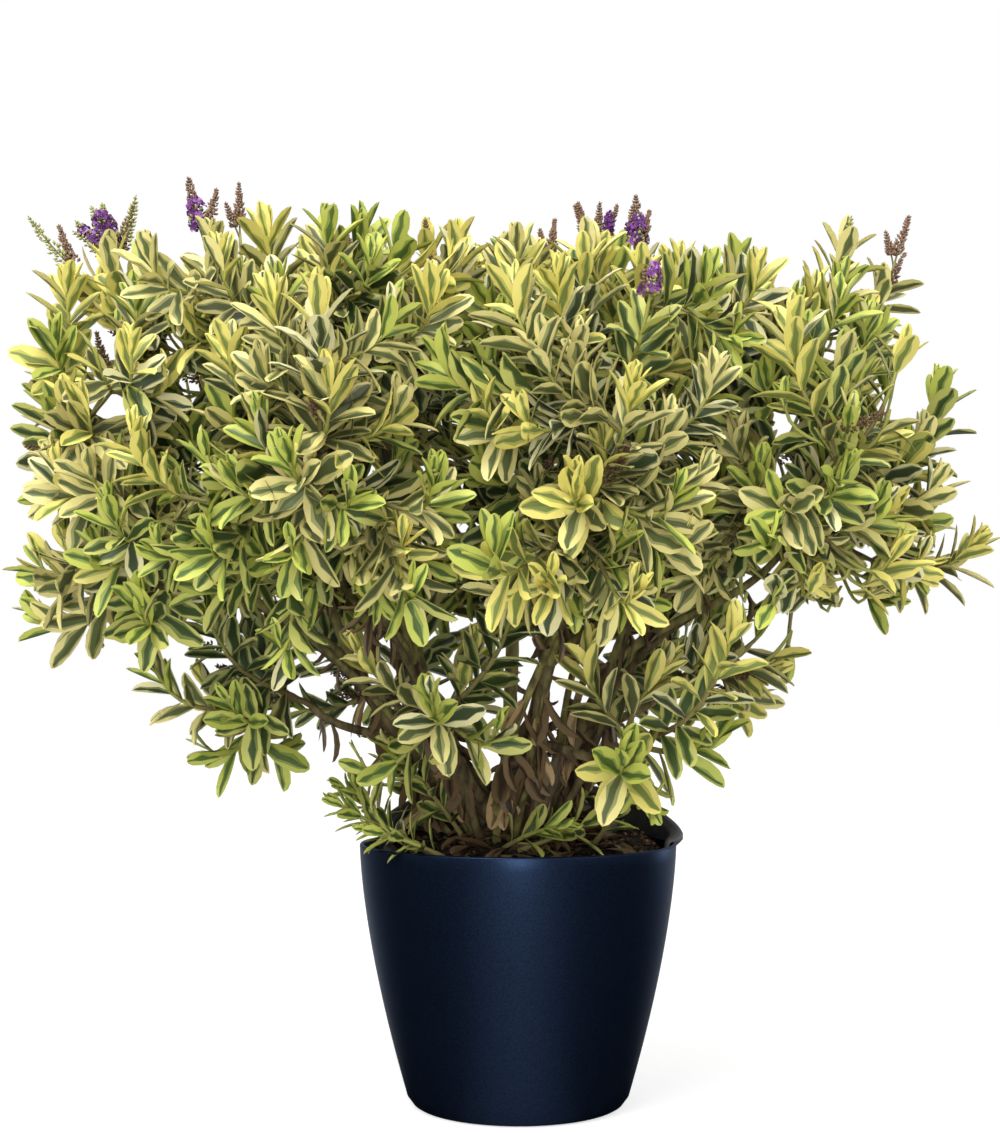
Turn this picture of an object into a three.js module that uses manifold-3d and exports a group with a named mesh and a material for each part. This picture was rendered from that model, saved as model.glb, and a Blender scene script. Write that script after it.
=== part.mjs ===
// A potted variegated hebe: a wide flat-topped evergreen shrub of many stems from one rootstock, in a
// round nursery pot that stands inside a dark blue cover pot.
//
// Millimetres, +Z up. The origin is the centre of the cover pot's flat underside, the front is -Y.

import * as THREE from 'three';
import { mergeVertices } from 'three/addons/utils/BufferGeometryUtils.js';
import Module from 'manifold-3d';

const wasm = await Module();
wasm.setup();

// ---------------------------------------------------------------- driving dimensions

const GAP = 0.3;
const FINEST = 0.02;
const DEG = Math.PI / 180;
const ROUND_SIDES = 32;

const POT = {
  height: 254,
  footRadius: 97,
  baseRadius: 106,
  rimRadius: 156.5,
  bulge: 1.53,
  wall: 4,
  floor: 5,
  cornerHeight: 10,
  wallRings: 4,
};

// The nursery pot stands crooked in the cover pot: its rim tips forward by slope and lies shift off centre.
const NURSERY = {
  baseRadius: 88,
  rimRadius: 143,
  wall: 2,
  rimReach: 11,
  rimFoot: 256,
  rimTop: 268,
  slope: 0.25,
  shift: [10, 14],
};

const SOIL = { edgeHeight: 245, crownHeight: 258, flatRadius: 44, shoulderRadius: 112 };

const STOOL = { x: -15, y: 0, height: 26, footRadius: 28, topRadius: 17, lean: 4 };

const STEM = {
  count: 6,
  startRadius: 8.6,
  endRadius: 6,
  startHeight: 12,
  startRise: 36 * DEG,
  endRise: 62 * DEG,
  forkReach: [130, 112],
  forkHeight: 430,
  sides: 6,
  rings: 5,
};

const CENTRE_STEM = { startRadius: 7.4, endRadius: 6, fork: [-4, -30, 520] };

const BOUGH = {
  startRadius: 5.2,
  endRadius: 3.8,
  reach: { top_centre: 0.55, top: 0.62, middle: 0.72, low: 0.62 },
  lowFork: 0.52,
  sides: 5,
  rings: 3,
};

// The crown: the surface that the shoot tips lie on, as a plan outline and a profile of
// [share of the plan radius, height, how thickly the tips stand]. Its top falls by tilt towards +X.
const CROWN = {
  centre: [-36, 0],
  halfWidth: 414,
  halfDepth: 360,
  squareness: 2.4,
  lobes: [[3, 1.0, 0.035], [5, 2.0, 0.03]],
  frontDrop: 45,
  dropFrom: 480,
  tilt: 0.05,
  profile: [
    [0, 840, 1], [0.5, 843, 1], [0.82, 834, 1], [0.96, 800, 1], [1, 730, 1], [1.02, 620, 1],
    [1, 530, 1], [0.9, 470, 0.8], [0.7, 415, 0.6], [0.5, 370, 0.5], [0.36, 325, 0.5],
  ],
  tipInset: 60,
  shoots: 69,
  placesTried: 16,
  seed: 1000,
};

// The tiers of foliage: [name, count, plan reach in X and Y, height, first azimuth in degrees].
const TIERS = [
  ['top_centre', 1, 0, 0, 765, 0],
  ['top', 6, 228, 196, 752, 0],
  ['middle', 9, 372, 312, 588, 5],
];

// The low masses hang where the underside of the crown shows them: [x, y, height].
const LOW_MASSES = [
  [205, -40, 445], [130, 175, 430], [-175, 170, 425], [-262, -45, 415], [-72, -165, 388], [132, -160, 345],
];

// Shoots with a place of their own: [x, y, height of the tip, lean from upright in degrees, blossom].
const OWN_SHOOTS = [
  [440, -70, 548, 62, ''],
  [-468, -50, 484, 70, ''],
  [-296, -90, 352, 66, ''],
  [122, -190, 314, 55, ''],
  [180, -168, 372, 42, ''],
  [92, -222, 352, 45, ''],
  [-78, -226, 404, 42, ''],
  [-22, -190, 372, 40, ''],
  [-268, -150, 398, 55, ''],
  [262, -70, 462, 45, ''],
  [18, -344, 690, 30, ''],
  [92, -338, 655, 38, ''],
  [-72, -346, 580, 46, ''],
  [126, -326, 568, 46, ''],
  [24, -318, 500, 58, ''],
  [44, -346, 575, 48, ''],
  [-88, -50, 846, 6, ''],
  [-14, 34, 850, 3, ''],
  [-402, -20, 838, 24, 'flower'],
  [-440, -30, 822, 40, 'flower'],
  [-318, 0, 862, 8, 'flower'],
  [-285, 25, 872, 5, 'bud'],
  [-168, 60, 846, 4, 'bud'],
  [32, 60, 850, 2, 'bud'],
  [84, 55, 856, 6, 'flower'],
  [122, 30, 852, 12, 'flower'],
  [110, -285, 742, 30, 'flower'],
  [384, 10, 838, 22, 'bud'],
  [326, -20, 852, 6, ''],
];

const TWIG = {
  startRadius: 3.6,
  endRadius: 2.2,
  sides: 3,
  ringStep: 75,
  forks: [0.08, 0.24, 0.4, 0.56, 0.72],
  shortest: 80,
  forkLength: 90,
  shortCost: 500,
  drawnIn: [0, 0.12, 0.24],
};

// Each leaf stands for several. Pairs stand at steps back from the shoot's tip, each wider spread.
const LEAF = {
  firstBack: 60,
  step: 36,
  pairs: 8,
  length: 132,
  tipLength: 112,
  tipSpread: 28 * DEG,
  spread: 74 * DEG,
  width: 0.48,
  widest: 0.48,
  thickness: 2.8,
  droop: 0.1,
  sunk: 0.8,
  lowest: 0.06,
  shorter: [1, 0.85, 0.7],
  swings: [0, 30 * DEG, -30 * DEG, 60 * DEG, -60 * DEG],
};

const BLOSSOM = {
  foot: 10,
  sunk: 6,
  widest: 0.35,
  flower: { length: 80, width: 27 },
  bud: { length: 62, width: 15 },
};

const CLEAR = { space: 1, leafToLimb: 13, twigToLimb: 3, fromBoughTip: 30, lowest: 277, pastCrown: 46 };

const COLOURS = {
  pot: { color: '#141c2c', roughness: 0.35, metalness: 0.5 },
  nursery_pot: { color: '#1b1b1c', roughness: 0.7, metalness: 0 },
  soil: { color: '#2a211a', roughness: 1, metalness: 0 },
  wood: { color: '#6b6046', roughness: 0.9, metalness: 0 },
  foliage: { color: '#a8a562', roughness: 0.6, metalness: 0 },
};

// ---------------------------------------------------------------- solids

function toSolid(geometry) {
  const bare = geometry.index ? geometry.clone() : geometry;
  bare.deleteAttribute('normal');
  bare.deleteAttribute('uv');
  const merged = mergeVertices(bare, 1e-4);
  const corners = [];
  for (let i = 0; i < merged.index.count; i += 3) {
    const [a, b, c] = merged.index.array.slice(i, i + 3);
    if (a !== b && b !== c && c !== a) {
      corners.push(a, b, c);
    }
  }
  return new wasm.Manifold(new wasm.Mesh({
    numProp: 3,
    vertProperties: new Float32Array(merged.attributes.position.array),
    triVerts: new Uint32Array(corners),
  }));
}

// The largest piece by itself: scraps and the walls of sealed hollows are left behind, and corners that
// lie closer than FINEST are drawn together.
function mainBody(solid) {
  const pieces = solid.setTolerance(FINEST).decompose();
  return pieces.reduce((best, piece) => (piece.volume() > best.volume() ? piece : best));
}

function toMesh(name, solid, colour) {
  const result = solid.getMesh();
  const geometry = new THREE.BufferGeometry();
  geometry.setAttribute('position', new THREE.BufferAttribute(result.vertProperties, 3));
  geometry.setIndex(new THREE.BufferAttribute(result.triVerts, 1));
  geometry.computeVertexNormals();
  return namedMesh(name, geometry, colour);
}

function namedMesh(name, geometry, colour) {
  const mesh = new THREE.Mesh(geometry, new THREE.MeshStandardMaterial(COLOURS[colour]));
  mesh.name = name;
  return mesh;
}

// A lathe about the Z axis from a profile of [radius, height].
function turned(profile) {
  const points = profile.map(([radius, height]) => new THREE.Vector2(radius, height));
  return new THREE.LatheGeometry(points, ROUND_SIDES).rotateX(Math.PI / 2);
}

function vector(x, y, z) {
  return new THREE.Vector3(x, y, z);
}

// A curve from start to end that leaves along startWay and arrives along endWay.
function bend(start, startWay, end, endWay, startPull = 0.35, endPull = 0.35) {
  const length = start.distanceTo(end);
  return new THREE.CubicBezierCurve3(
    start,
    start.clone().addScaledVector(startWay, length * startPull),
    end.clone().addScaledVector(endWay, -length * endPull),
    end,
  );
}

// A side direction for a curve, square to its chord, that a cross-section is turned to.
function sideWay(curve) {
  const chord = curve.getPoint(1).sub(curve.getPoint(0)).normalize();
  const other = Math.abs(chord.z) > 0.8 ? vector(1, 0, 0) : vector(0, 0, 1);
  return other.cross(chord).normalize();
}

// A round tapering limb along a curve: radiusAt(t) is its radius at the share t of the curve's length.
// It may stop short of the curve's end, at the share stop.
function limbSolid(curve, radiusAt, sides, rings, stop = 1) {
  const geometry = new THREE.CylinderGeometry(1, 1, 1, sides, rings);
  const side = sideWay(curve);
  const position = geometry.attributes.position;
  const place = new THREE.Vector3();
  for (let i = 0; i < position.count; i += 1) {
    place.fromBufferAttribute(position, i);
    const t = (place.y + 0.5) * stop;
    const way = curve.getTangentAt(t);
    const across = side.clone().addScaledVector(way, -side.dot(way)).normalize();
    const over = across.clone().cross(way);
    const centre = curve.getPointAt(t);
    centre.addScaledVector(across, place.x * radiusAt(t));
    centre.addScaledVector(over, place.z * radiusAt(t));
    position.setXYZ(i, centre.x, centre.y, centre.z);
  }
  return toSolid(geometry);
}

function taper(start, end) {
  return (t) => start + (end - start) * t;
}

// ---------------------------------------------------------------- chance, the same on every run

// A seeded generator of numbers from 0 to 1.
function seeded(seed) {
  let state = seed >>> 0;
  return () => {
    state = (state + 0x6D2B79F5) >>> 0;
    let mixed = Math.imul(state ^ (state >>> 15), state | 1);
    mixed ^= mixed + Math.imul(mixed ^ (mixed >>> 7), mixed | 61);
    return ((mixed ^ (mixed >>> 14)) >>> 0) / 4294967296;
  };
}

// ---------------------------------------------------------------- cover pot, nursery pot and soil

function potRadius(height) {
  const rise = Math.min(Math.max(height / POT.height, 0), 1);
  return POT.baseRadius + (POT.rimRadius - POT.baseRadius) * (1 - (1 - rise) ** POT.bulge);
}

// The cover pot's wall and floor, thicker by extra on the inside, outside and lip.
function potBody(extra) {
  const lip = POT.wall / 2;
  const outer = [[0, 0], [POT.footRadius, 0], [POT.baseRadius - 3, 2.5]];
  const inner = [];
  for (let i = 0; i <= POT.wallRings; i += 1) {
    const height = POT.cornerHeight + (POT.height - lip - POT.cornerHeight) * (i / POT.wallRings);
    outer.push([potRadius(height) + extra, height]);
    inner.unshift([potRadius(height) - POT.wall - extra, height]);
  }
  const top = [[potRadius(POT.height) - lip, POT.height + extra]];
  const floor = [[POT.baseRadius - POT.wall - 2, POT.floor], [0, POT.floor]];
  return turned([...outer, ...top, ...inner, ...floor]);
}

const nurseryFloor = POT.floor + GAP;

function nurseryRadius(height) {
  const rise = (height - nurseryFloor) / (NURSERY.rimFoot - nurseryFloor);
  return NURSERY.baseRadius + (NURSERY.rimRadius - NURSERY.baseRadius) * rise;
}

// Tips an upright geometry the way the nursery pot leans. The floor and the middle, where the plant
// stands, stay as they are.
function leant(geometry) {
  const { rimRadius, rimFoot, slope, shift } = NURSERY;
  const position = geometry.attributes.position;
  for (let i = 0; i < position.count; i += 1) {
    const [x, y, z] = [position.getX(i), position.getY(i), position.getZ(i)];
    const out = (Math.hypot(x, y) - SOIL.flatRadius) / (rimRadius - SOIL.flatRadius);
    const share = Math.min(Math.max(out, 0), 1) * Math.max((z - nurseryFloor) / (rimFoot - nurseryFloor), 0);
    position.setXYZ(i, x + shift[0] * share, y + shift[1] * share, z + slope * y * share);
  }
  return geometry;
}

// The rim hooks over the cover pot's lip on one side, so it is cut clear of the cover pot.
function nurseryPotMesh() {
  const { wall, rimReach, rimFoot, rimTop, rimRadius } = NURSERY;
  const profile = [
    [0, nurseryFloor],
    [nurseryRadius(nurseryFloor), nurseryFloor],
    [rimRadius, rimFoot],
    [rimRadius + rimReach, rimFoot + 1],
    [rimRadius + rimReach, rimTop - 2],
    [rimRadius + rimReach / 2, rimTop],
    [rimRadius - wall, rimTop - 1],
    [rimRadius - wall, rimFoot],
    [nurseryRadius(nurseryFloor + wall) - wall, nurseryFloor + wall],
    [0, nurseryFloor + wall],
  ];
  const body = toSolid(leant(turned(profile))).subtract(toSolid(potBody(GAP)));
  return toMesh('nursery_pot', mainBody(body), 'nursery_pot');
}

function soilMesh() {
  const bottom = nurseryFloor + NURSERY.wall + GAP;
  const inside = NURSERY.wall + 3 * GAP;
  const profile = [
    [0, bottom],
    [nurseryRadius(bottom) - inside, bottom],
    [nurseryRadius(SOIL.edgeHeight) - inside, SOIL.edgeHeight],
    [SOIL.shoulderRadius, (SOIL.edgeHeight + SOIL.crownHeight) / 2 + 3],
    [SOIL.flatRadius, SOIL.crownHeight],
    [0, SOIL.crownHeight],
  ];
  return namedMesh('soil', leant(turned(profile)), 'soil');
}

// ---------------------------------------------------------------- stool, stems and boughs

const limbs = [];

// Adds a limb: it is cut clear of the limbs that it grows from and beside.
function addLimb(name, curve, radiusAt, sides, rings, neighbours) {
  let solid = limbSolid(curve, radiusAt, sides, rings);
  for (const neighbour of neighbours) {
    solid = solid.subtract(neighbour.grown);
  }
  const grown = limbSolid(curve, (t) => radiusAt(t) + GAP * 1.2, sides, rings);
  const limb = { name, curve, radiusAt, grown, solid: mainBody(solid), way: curve.getTangentAt(1) };
  limbs.push(limb);
  return limb;
}

function outward(azimuth) {
  return vector(Math.cos(azimuth), Math.sin(azimuth), 0);
}

function rising(azimuth, rise) {
  return outward(azimuth).multiplyScalar(Math.cos(rise)).setZ(Math.sin(rise));
}

function addStool() {
  const foot = vector(STOOL.x, STOOL.y, SOIL.crownHeight + GAP);
  const top = foot.clone().add(vector(STOOL.lean, 0, STOOL.height));
  const curve = bend(foot, vector(0, 0, 1), top, vector(0, 0, 1));
  const radiusAt = (t) => STOOL.topRadius + (STOOL.footRadius - STOOL.topRadius) * (1 - t) ** 2;
  return addLimb('stool', curve, radiusAt, 10, 4, []);
}

const stool = addStool();

function stemAzimuth(index) {
  return (360 / STEM.count) * index * DEG;
}

function addStems() {
  const foot = stool.curve.getPointAt(STEM.startHeight / STOOL.height);
  const stems = [];
  for (let i = 0; i < STEM.count; i += 1) {
    const azimuth = stemAzimuth(i);
    const [reachX, reachY] = STEM.forkReach;
    const fork = vector(
      CROWN.centre[0] + reachX * Math.cos(azimuth),
      CROWN.centre[1] + reachY * Math.sin(azimuth),
      STEM.forkHeight,
    );
    const start = foot.clone().addScaledVector(outward(azimuth), STOOL.topRadius / 2);
    const curve = bend(start, rising(azimuth, STEM.startRise), fork, rising(azimuth, STEM.endRise));
    const radiusAt = taper(STEM.startRadius, STEM.endRadius);
    const neighbours = [stool, ...stems];
    stems.push(addLimb(`stem_${i + 1}`, curve, radiusAt, STEM.sides, STEM.rings, neighbours));
  }
  return stems;
}

const stems = addStems();

function addCentreStem() {
  const start = stool.curve.getPointAt(0.9);
  const fork = vector(...CENTRE_STEM.fork);
  const curve = bend(start, vector(0, 0, 1), fork, vector(0, 0, 1), 0.3, 0.3);
  const radiusAt = taper(CENTRE_STEM.startRadius, CENTRE_STEM.endRadius);
  return addLimb('stem_centre', curve, radiusAt, STEM.sides, STEM.rings, [stool, ...stems]);
}

const centreStem = addCentreStem();

// ---------------------------------------------------------------- masses and their boughs

function crownRadius(azimuth) {
  const { halfWidth, halfDepth, squareness, lobes } = CROWN;
  const across = Math.abs(Math.cos(azimuth) / halfWidth) ** squareness;
  const along = Math.abs(Math.sin(azimuth) / halfDepth) ** squareness;
  const round = (across + along) ** (-1 / squareness);
  const swell = lobes.map(([turns, phase, size]) => size * Math.cos(turns * azimuth + phase));
  return swell.reduce((sum, part) => sum + round * part, round);
}

function massCentres() {
  const masses = [];
  for (const [tier, count, reachX, reachY, height, first] of TIERS) {
    for (let i = 0; i < count; i += 1) {
      const azimuth = (first + (360 / count) * i) * DEG;
      masses.push({
        tier,
        name: count > 1 ? `${tier}_${i + 1}` : tier,
        centre: vector(
          CROWN.centre[0] + reachX * Math.cos(azimuth),
          CROWN.centre[1] + reachY * Math.sin(azimuth),
          height,
        ),
      });
    }
  }
  LOW_MASSES.forEach((place, i) => {
    masses.push({ tier: 'low', name: `low_${i + 1}`, centre: vector(...place) });
  });
  return masses;
}

const masses = massCentres();

// The stem whose azimuth is nearest to the mass's own.
function stemFor(mass) {
  if (mass.tier === 'top_centre') {
    return centreStem;
  }
  const azimuth = Math.atan2(mass.centre.y - CROWN.centre[1], mass.centre.x - CROWN.centre[0]);
  const turn = Math.round(azimuth / stemAzimuth(1)) + STEM.count;
  return stems[turn % STEM.count];
}

// How far inside its own space a point lies: the spaces are parted half way between the masses.
function roomAt(point, mass) {
  let room = Infinity;
  for (const other of masses) {
    if (other !== mass) {
      const apart = other.centre.distanceTo(mass.centre);
      const lead = point.distanceToSquared(other.centre) - point.distanceToSquared(mass.centre);
      room = Math.min(room, lead / (2 * apart));
    }
  }
  return room;
}

function addBough(mass) {
  const stem = stemFor(mass);
  const at = mass.tier === 'low' ? BOUGH.lowFork : 0.985;
  const start = stem.curve.getPointAt(at);
  const way = mass.centre.clone().sub(start).normalize();
  const tip = start.clone().lerp(mass.centre, BOUGH.reach[mass.tier]);
  const leave = stem.curve.getTangentAt(at).lerp(way, 0.55).normalize();
  const arrive = way.clone().lerp(vector(0, 0, 1), 0.35).normalize();
  const curve = bend(start, leave, tip, arrive);
  const siblings = limbs.filter((limb) => limb.stem === stem);
  const radiusAt = taper(BOUGH.startRadius, BOUGH.endRadius);
  const neighbours = [stem, ...siblings];
  const bough = addLimb(`bough_${mass.name}`, curve, radiusAt, BOUGH.sides, BOUGH.rings, neighbours);
  bough.stem = stem;
  if (roomAt(tip, mass) < CLEAR.space + BOUGH.endRadius) {
    throw new Error(`${bough.name} ends outside its own mass`);
  }
  return bough;
}

for (const mass of masses) {
  mass.bough = addBough(mass);
}

// ---------------------------------------------------------------- shoots

// The crown's profile at the share v of its surface, from the top middle to the underside.
function profileAt(v) {
  const areas = CROWN.profile.slice(1).map(([share, height, density], i) => {
    const [lastShare, lastHeight] = CROWN.profile[i];
    const run = (share - lastShare) * CROWN.halfWidth;
    return Math.hypot(run, height - lastHeight) * (share + lastShare) * density;
  });
  let left = v * areas.reduce((sum, area) => sum + area, 0);
  let i = 0;
  while (i < areas.length - 1 && left > areas[i]) {
    left -= areas[i];
    i += 1;
  }
  const t = left / areas[i];
  const [fromShare, fromHeight] = CROWN.profile[i];
  const [toShare, toHeight] = CROWN.profile[i + 1];
  return {
    share: fromShare + (toShare - fromShare) * t,
    height: fromHeight + (toHeight - fromHeight) * t,
  };
}

// The lean of a shoot from upright: little on top, more down the sides, most underneath.
function leanAt(share, height) {
  const side = Math.min(Math.max((820 - height) / 400, 0), 1);
  return (4 + 16 * share ** 2 + 46 * side) * DEG;
}

// A place on the crown for a shoot's tip, by chance.
function crownPlace(chance) {
  const azimuth = chance() * 2 * Math.PI;
  const { share, height } = profileAt(chance());
  const inset = CROWN.tipInset * chance() ** 2;
  const radius = Math.max(crownRadius(azimuth) * share - inset * share, 0);
  const side = outward(azimuth);
  const tip = vector(CROWN.centre[0] + side.x * radius, CROWN.centre[1] + side.y * radius, height);
  const front = Math.max(-tip.y / CROWN.halfDepth, 0);
  const high = Math.max((height - CROWN.dropFrom) / (CROWN.profile[0][1] - CROWN.dropFrom), 0);
  tip.z -= (CROWN.frontDrop * front + CROWN.tilt * tip.x) * high + inset * (1 - share) * 0.6;
  const lean = leanAt(share, height) + (chance() - 0.5) * 24 * DEG;
  const turn = azimuth + (chance() - 0.5) * 50 * DEG;
  return { tip, way: rising(turn, 90 * DEG - lean), blossom: '' };
}

function ownShoot([x, y, height, lean, blossom], index) {
  const azimuth = Math.atan2(y - CROWN.centre[1], x - CROWN.centre[0]);
  const way = rising(azimuth, (90 - lean) * DEG);
  return { tip: vector(x, y, height), way, blossom, seed: 9000 + index };
}

// Shoots fill the crown one after the other, each in the emptiest of a few places tried.
function allShoots() {
  const chance = seeded(CROWN.seed);
  const shoots = OWN_SHOOTS.map(ownShoot);
  const roomAround = (place) => Math.min(...shoots.map((shoot) => shoot.tip.distanceTo(place.tip)));
  for (let i = 0; i < CROWN.shoots; i += 1) {
    const places = Array.from({ length: CROWN.placesTried }, () => crownPlace(chance));
    const best = places.reduce((kept, place) => (roomAround(place) > roomAround(kept) ? place : kept));
    shoots.push({ ...best, seed: CROWN.seed + i });
  }
  return shoots;
}

// Each shoot belongs to the mass whose centre is nearest.
function dealShoots() {
  for (const mass of masses) {
    mass.shoots = [];
  }
  for (const shoot of allShoots()) {
    const owner = masses.reduce((best, mass) => (
      mass.centre.distanceToSquared(shoot.tip) < best.centre.distanceToSquared(shoot.tip) ? mass : best));
    owner.shoots.push(shoot);
  }
}

// The twig of a shoot: the leader goes on from the bough, the others fork from the twigs before them,
// where the way to the tip is shortest with the way back to the bough counted in part.
function growTwig(shoot, twigs, bough) {
  let best = null;
  for (const twig of twigs) {
    for (const t of TWIG.forks.filter((share) => share < twig.topShare - 0.03)) {
      const start = axisPoint(twig, t);
      const way = shoot.tip.clone().sub(start);
      const length = way.length();
      const turn = twig.curve.getTangentAt(t).dot(way.normalize());
      const tooShort = length < TWIG.forkLength ? TWIG.shortCost : 0;
      const cost = length + 0.4 * (twig.run + t * twig.length) + 60 * (1 - turn) + tooShort;
      if (best === null || cost < best.cost) {
        best = { cost, start, from: twig.curve.getTangentAt(t), run: twig.run + t * twig.length, t, twig };
      }
    }
  }
  const first = twigs.length === 0;
  const start = first ? bough.curve.getPointAt(1).addScaledVector(bough.way, GAP) : best.start;
  const ahead = shoot.tip.clone().sub(start).normalize();
  const leave = first ? bough.way.clone() : best.from.lerp(ahead, 0.6).normalize();
  const curve = bend(start, leave, shoot.tip, shoot.way);
  const startRadius = first ? TWIG.startRadius : best.twig.radiusAt(best.t) * 0.95;
  const length = curve.getLength();
  // The solid stops at its last pair of leaves, or runs on to the foot of its blossom.
  const bare = shoot.blossom ? BLOSSOM.foot : LEAF.firstBack - 4;
  const topShare = 1 - bare / length;
  const rings = Math.min(Math.max(Math.round(length / TWIG.ringStep), 1), 4);
  const line = Array.from({ length: rings + 1 }, (_, i) => curve.getPointAt((topShare * i) / rings));
  return {
    shoot,
    curve,
    length,
    first,
    topShare,
    rings,
    line,
    run: first ? 0 : best.run,
    radiusAt: taper(startRadius, TWIG.endRadius),
  };
}

// A point on the axis of a twig's solid, which runs straight from ring to ring.
function axisPoint(twig, t) {
  const place = Math.min((t / twig.topShare) * twig.rings, twig.rings);
  const ring = Math.min(Math.floor(place), twig.rings - 1);
  return twig.line[ring].clone().lerp(twig.line[ring + 1], place - ring);
}

// ---------------------------------------------------------------- leaves and blossom

const limbPoints = [];
for (const limb of limbs) {
  const steps = Math.ceil(limb.curve.getLength() / 6);
  for (let i = 0; i <= steps; i += 1) {
    const t = i / steps;
    limbPoints.push({ limb, point: limb.curve.getPointAt(t), radius: limb.radiusAt(t) });
  }
}

function clearOfLimbs(point, room, except = null) {
  return limbPoints.every(({ limb, point: centre, radius }) => (
    limb === except || centre.distanceTo(point) > radius + room));
}

// A twig is long enough for leaves and stays in its space, off the limbs. Near its own bough's tip it has to
// lie ahead of it.
function twigFits(twig, mass) {
  if (twig.length < TWIG.shortest) {
    return false;
  }
  const steps = Math.ceil(twig.length / 8);
  const boughTip = mass.bough.curve.getPointAt(1);
  for (let i = 0; i <= steps; i += 1) {
    const point = twig.curve.getPointAt(i / steps);
    const fromTip = point.clone().sub(boughTip);
    const near = fromTip.length() < CLEAR.fromBoughTip;
    const ahead = fromTip.dot(mass.bough.way);
    if (near && !twig.first && ahead < TWIG.startRadius * 2) {
      return false;
    }
    if (roomAt(point, mass) < TWIG.startRadius + CLEAR.space) {
      return false;
    }
    if (!clearOfLimbs(point, TWIG.startRadius + CLEAR.twigToLimb, near ? mass.bough : null)) {
      return false;
    }
  }
  return true;
}

// The four corners of a leaf, a keeled kite: its root just past the twig's axis, its tip, and two sides that
// stand up from the line between those by the leaf's thickness.
function leafCorners(root, along, face, length) {
  const across = face.clone().cross(along);
  const at = (share, side, up) => root.clone()
    .addScaledVector(along, length * share)
    .addScaledVector(across, side)
    .addScaledVector(face, up - length * LEAF.droop * share);
  const half = (length * LEAF.width) / 2;
  return {
    root: at(-LEAF.sunk / length, 0, 0),
    tip: at(1, 0, 0),
    left: at(LEAF.widest, half, LEAF.thickness),
    right: at(LEAF.widest, -half, LEAF.thickness),
    middle: at(0.5, 0, 0),
    size: length / 2,
  };
}

function leafFits(corners, mass) {
  const { root, tip, left, right } = corners;
  for (const corner of [tip, left, right]) {
    const lowest = CLEAR.lowest + NURSERY.slope * Math.max(corner.y, 0);
    if (roomAt(corner, mass) < CLEAR.space + LEAF.thickness || corner.z < lowest) {
      return false;
    }
  }
  const middle = left.clone().lerp(right, 0.5);
  const places = [tip, left, right, middle, middle.clone().lerp(tip, 0.5), middle.clone().lerp(root, 0.5)];
  for (const side of [left, right]) {
    places.push(side.clone().lerp(middle, 0.5), side.clone().lerp(tip, 0.5), side.clone().lerp(root, 0.4));
  }
  return places.every((place) => clearOfLimbs(place, CLEAR.leafToLimb));
}

// Whether a point lies near the crown's outline or inside it, seen from above. A shoot that stands out of
// the crown keeps the same reach past its own tip.
function nearCrown(point, shoot) {
  const [middleX, middleY] = CROWN.centre;
  const fromMiddle = ({ x, y }) => Math.hypot(x - middleX, y - middleY);
  const outline = crownRadius(Math.atan2(point.y - middleY, point.x - middleX));
  return fromMiddle(point) < Math.max(outline, fromMiddle(shoot.tip)) + CLEAR.pastCrown;
}

// Whether the line from one point to another passes through a triangle.
function linePierces(from, to, triangle) {
  const line = new THREE.Ray(from, to.clone().sub(from).normalize());
  const hit = line.intersectTriangle(...triangle, false, new THREE.Vector3());
  return hit !== null && hit.distanceTo(from) < from.distanceTo(to);
}

function bladeTriangles({ root, tip, left, right }) {
  return [[root, left, tip], [root, tip, right]];
}

function bladeEdges({ root, tip, left, right }) {
  return [[root, left], [left, tip], [tip, right], [right, root], [root, tip]];
}

function leavesCross(one, other) {
  const sharedRoot = one.root.distanceTo(other.root) < 2 * LEAF.sunk + 0.1;
  if (sharedRoot || one.middle.distanceTo(other.middle) > one.size + other.size) {
    return false;
  }
  const through = (edges, triangles) => (
    edges.some(([from, to]) => triangles.some((triangle) => linePierces(from, to, triangle))));
  return through(bladeEdges(one), bladeTriangles(other)) || through(bladeEdges(other), bladeTriangles(one));
}

// Whether a leaf is clear of the leaves before it and of the twigs that it doesn't grow from.
function leafStandsFree(corners, twig, leaves, twigs) {
  if (leaves.some((leaf) => leavesCross(corners, leaf))) {
    return false;
  }
  const blade = bladeTriangles(corners);
  return twigs.every((other) => other === twig || other.line.slice(1).every((point, i) => (
    blade.every((triangle) => !linePierces(other.line[i], point, triangle)))));
}

// A three.js solid whose corners are moved: placeFor gives the new place of the corner at (x, y, z).
function movedSolid(geometry, placeFor) {
  const position = geometry.attributes.position;
  for (let i = 0; i < position.count; i += 1) {
    const place = placeFor(position.getX(i), position.getY(i), position.getZ(i));
    position.setXYZ(i, place.x, place.y, place.z);
  }
  return toSolid(geometry);
}

function leafSolid({ root, tip, left, right }) {
  return movedSolid(new THREE.TetrahedronGeometry(1, 0), (x, y, z) => {
    if (z < 0) {
      return x < 0 ? root : tip;
    }
    return x > 0 ? left : right;
  });
}

// The leaf on one side of a twig: the first of the places tried where it stands free.
function placeLeaf(root, frame, turn, angle, fullLength, isFree) {
  for (const swing of LEAF.swings) {
    for (const shorter of LEAF.shorter) {
      const out = frame.across.clone().multiplyScalar(Math.cos(turn + swing));
      out.addScaledVector(frame.over, Math.sin(turn + swing));
      const along = frame.way.clone().multiplyScalar(Math.cos(angle)).addScaledVector(out, Math.sin(angle));
      const face = frame.way.clone().multiplyScalar(Math.sin(angle)).addScaledVector(out, -Math.cos(angle));
      const leaf = leafCorners(root, along, face, fullLength * shorter);
      if (isFree(leaf)) {
        return leaf;
      }
    }
  }
  return null;
}

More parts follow.
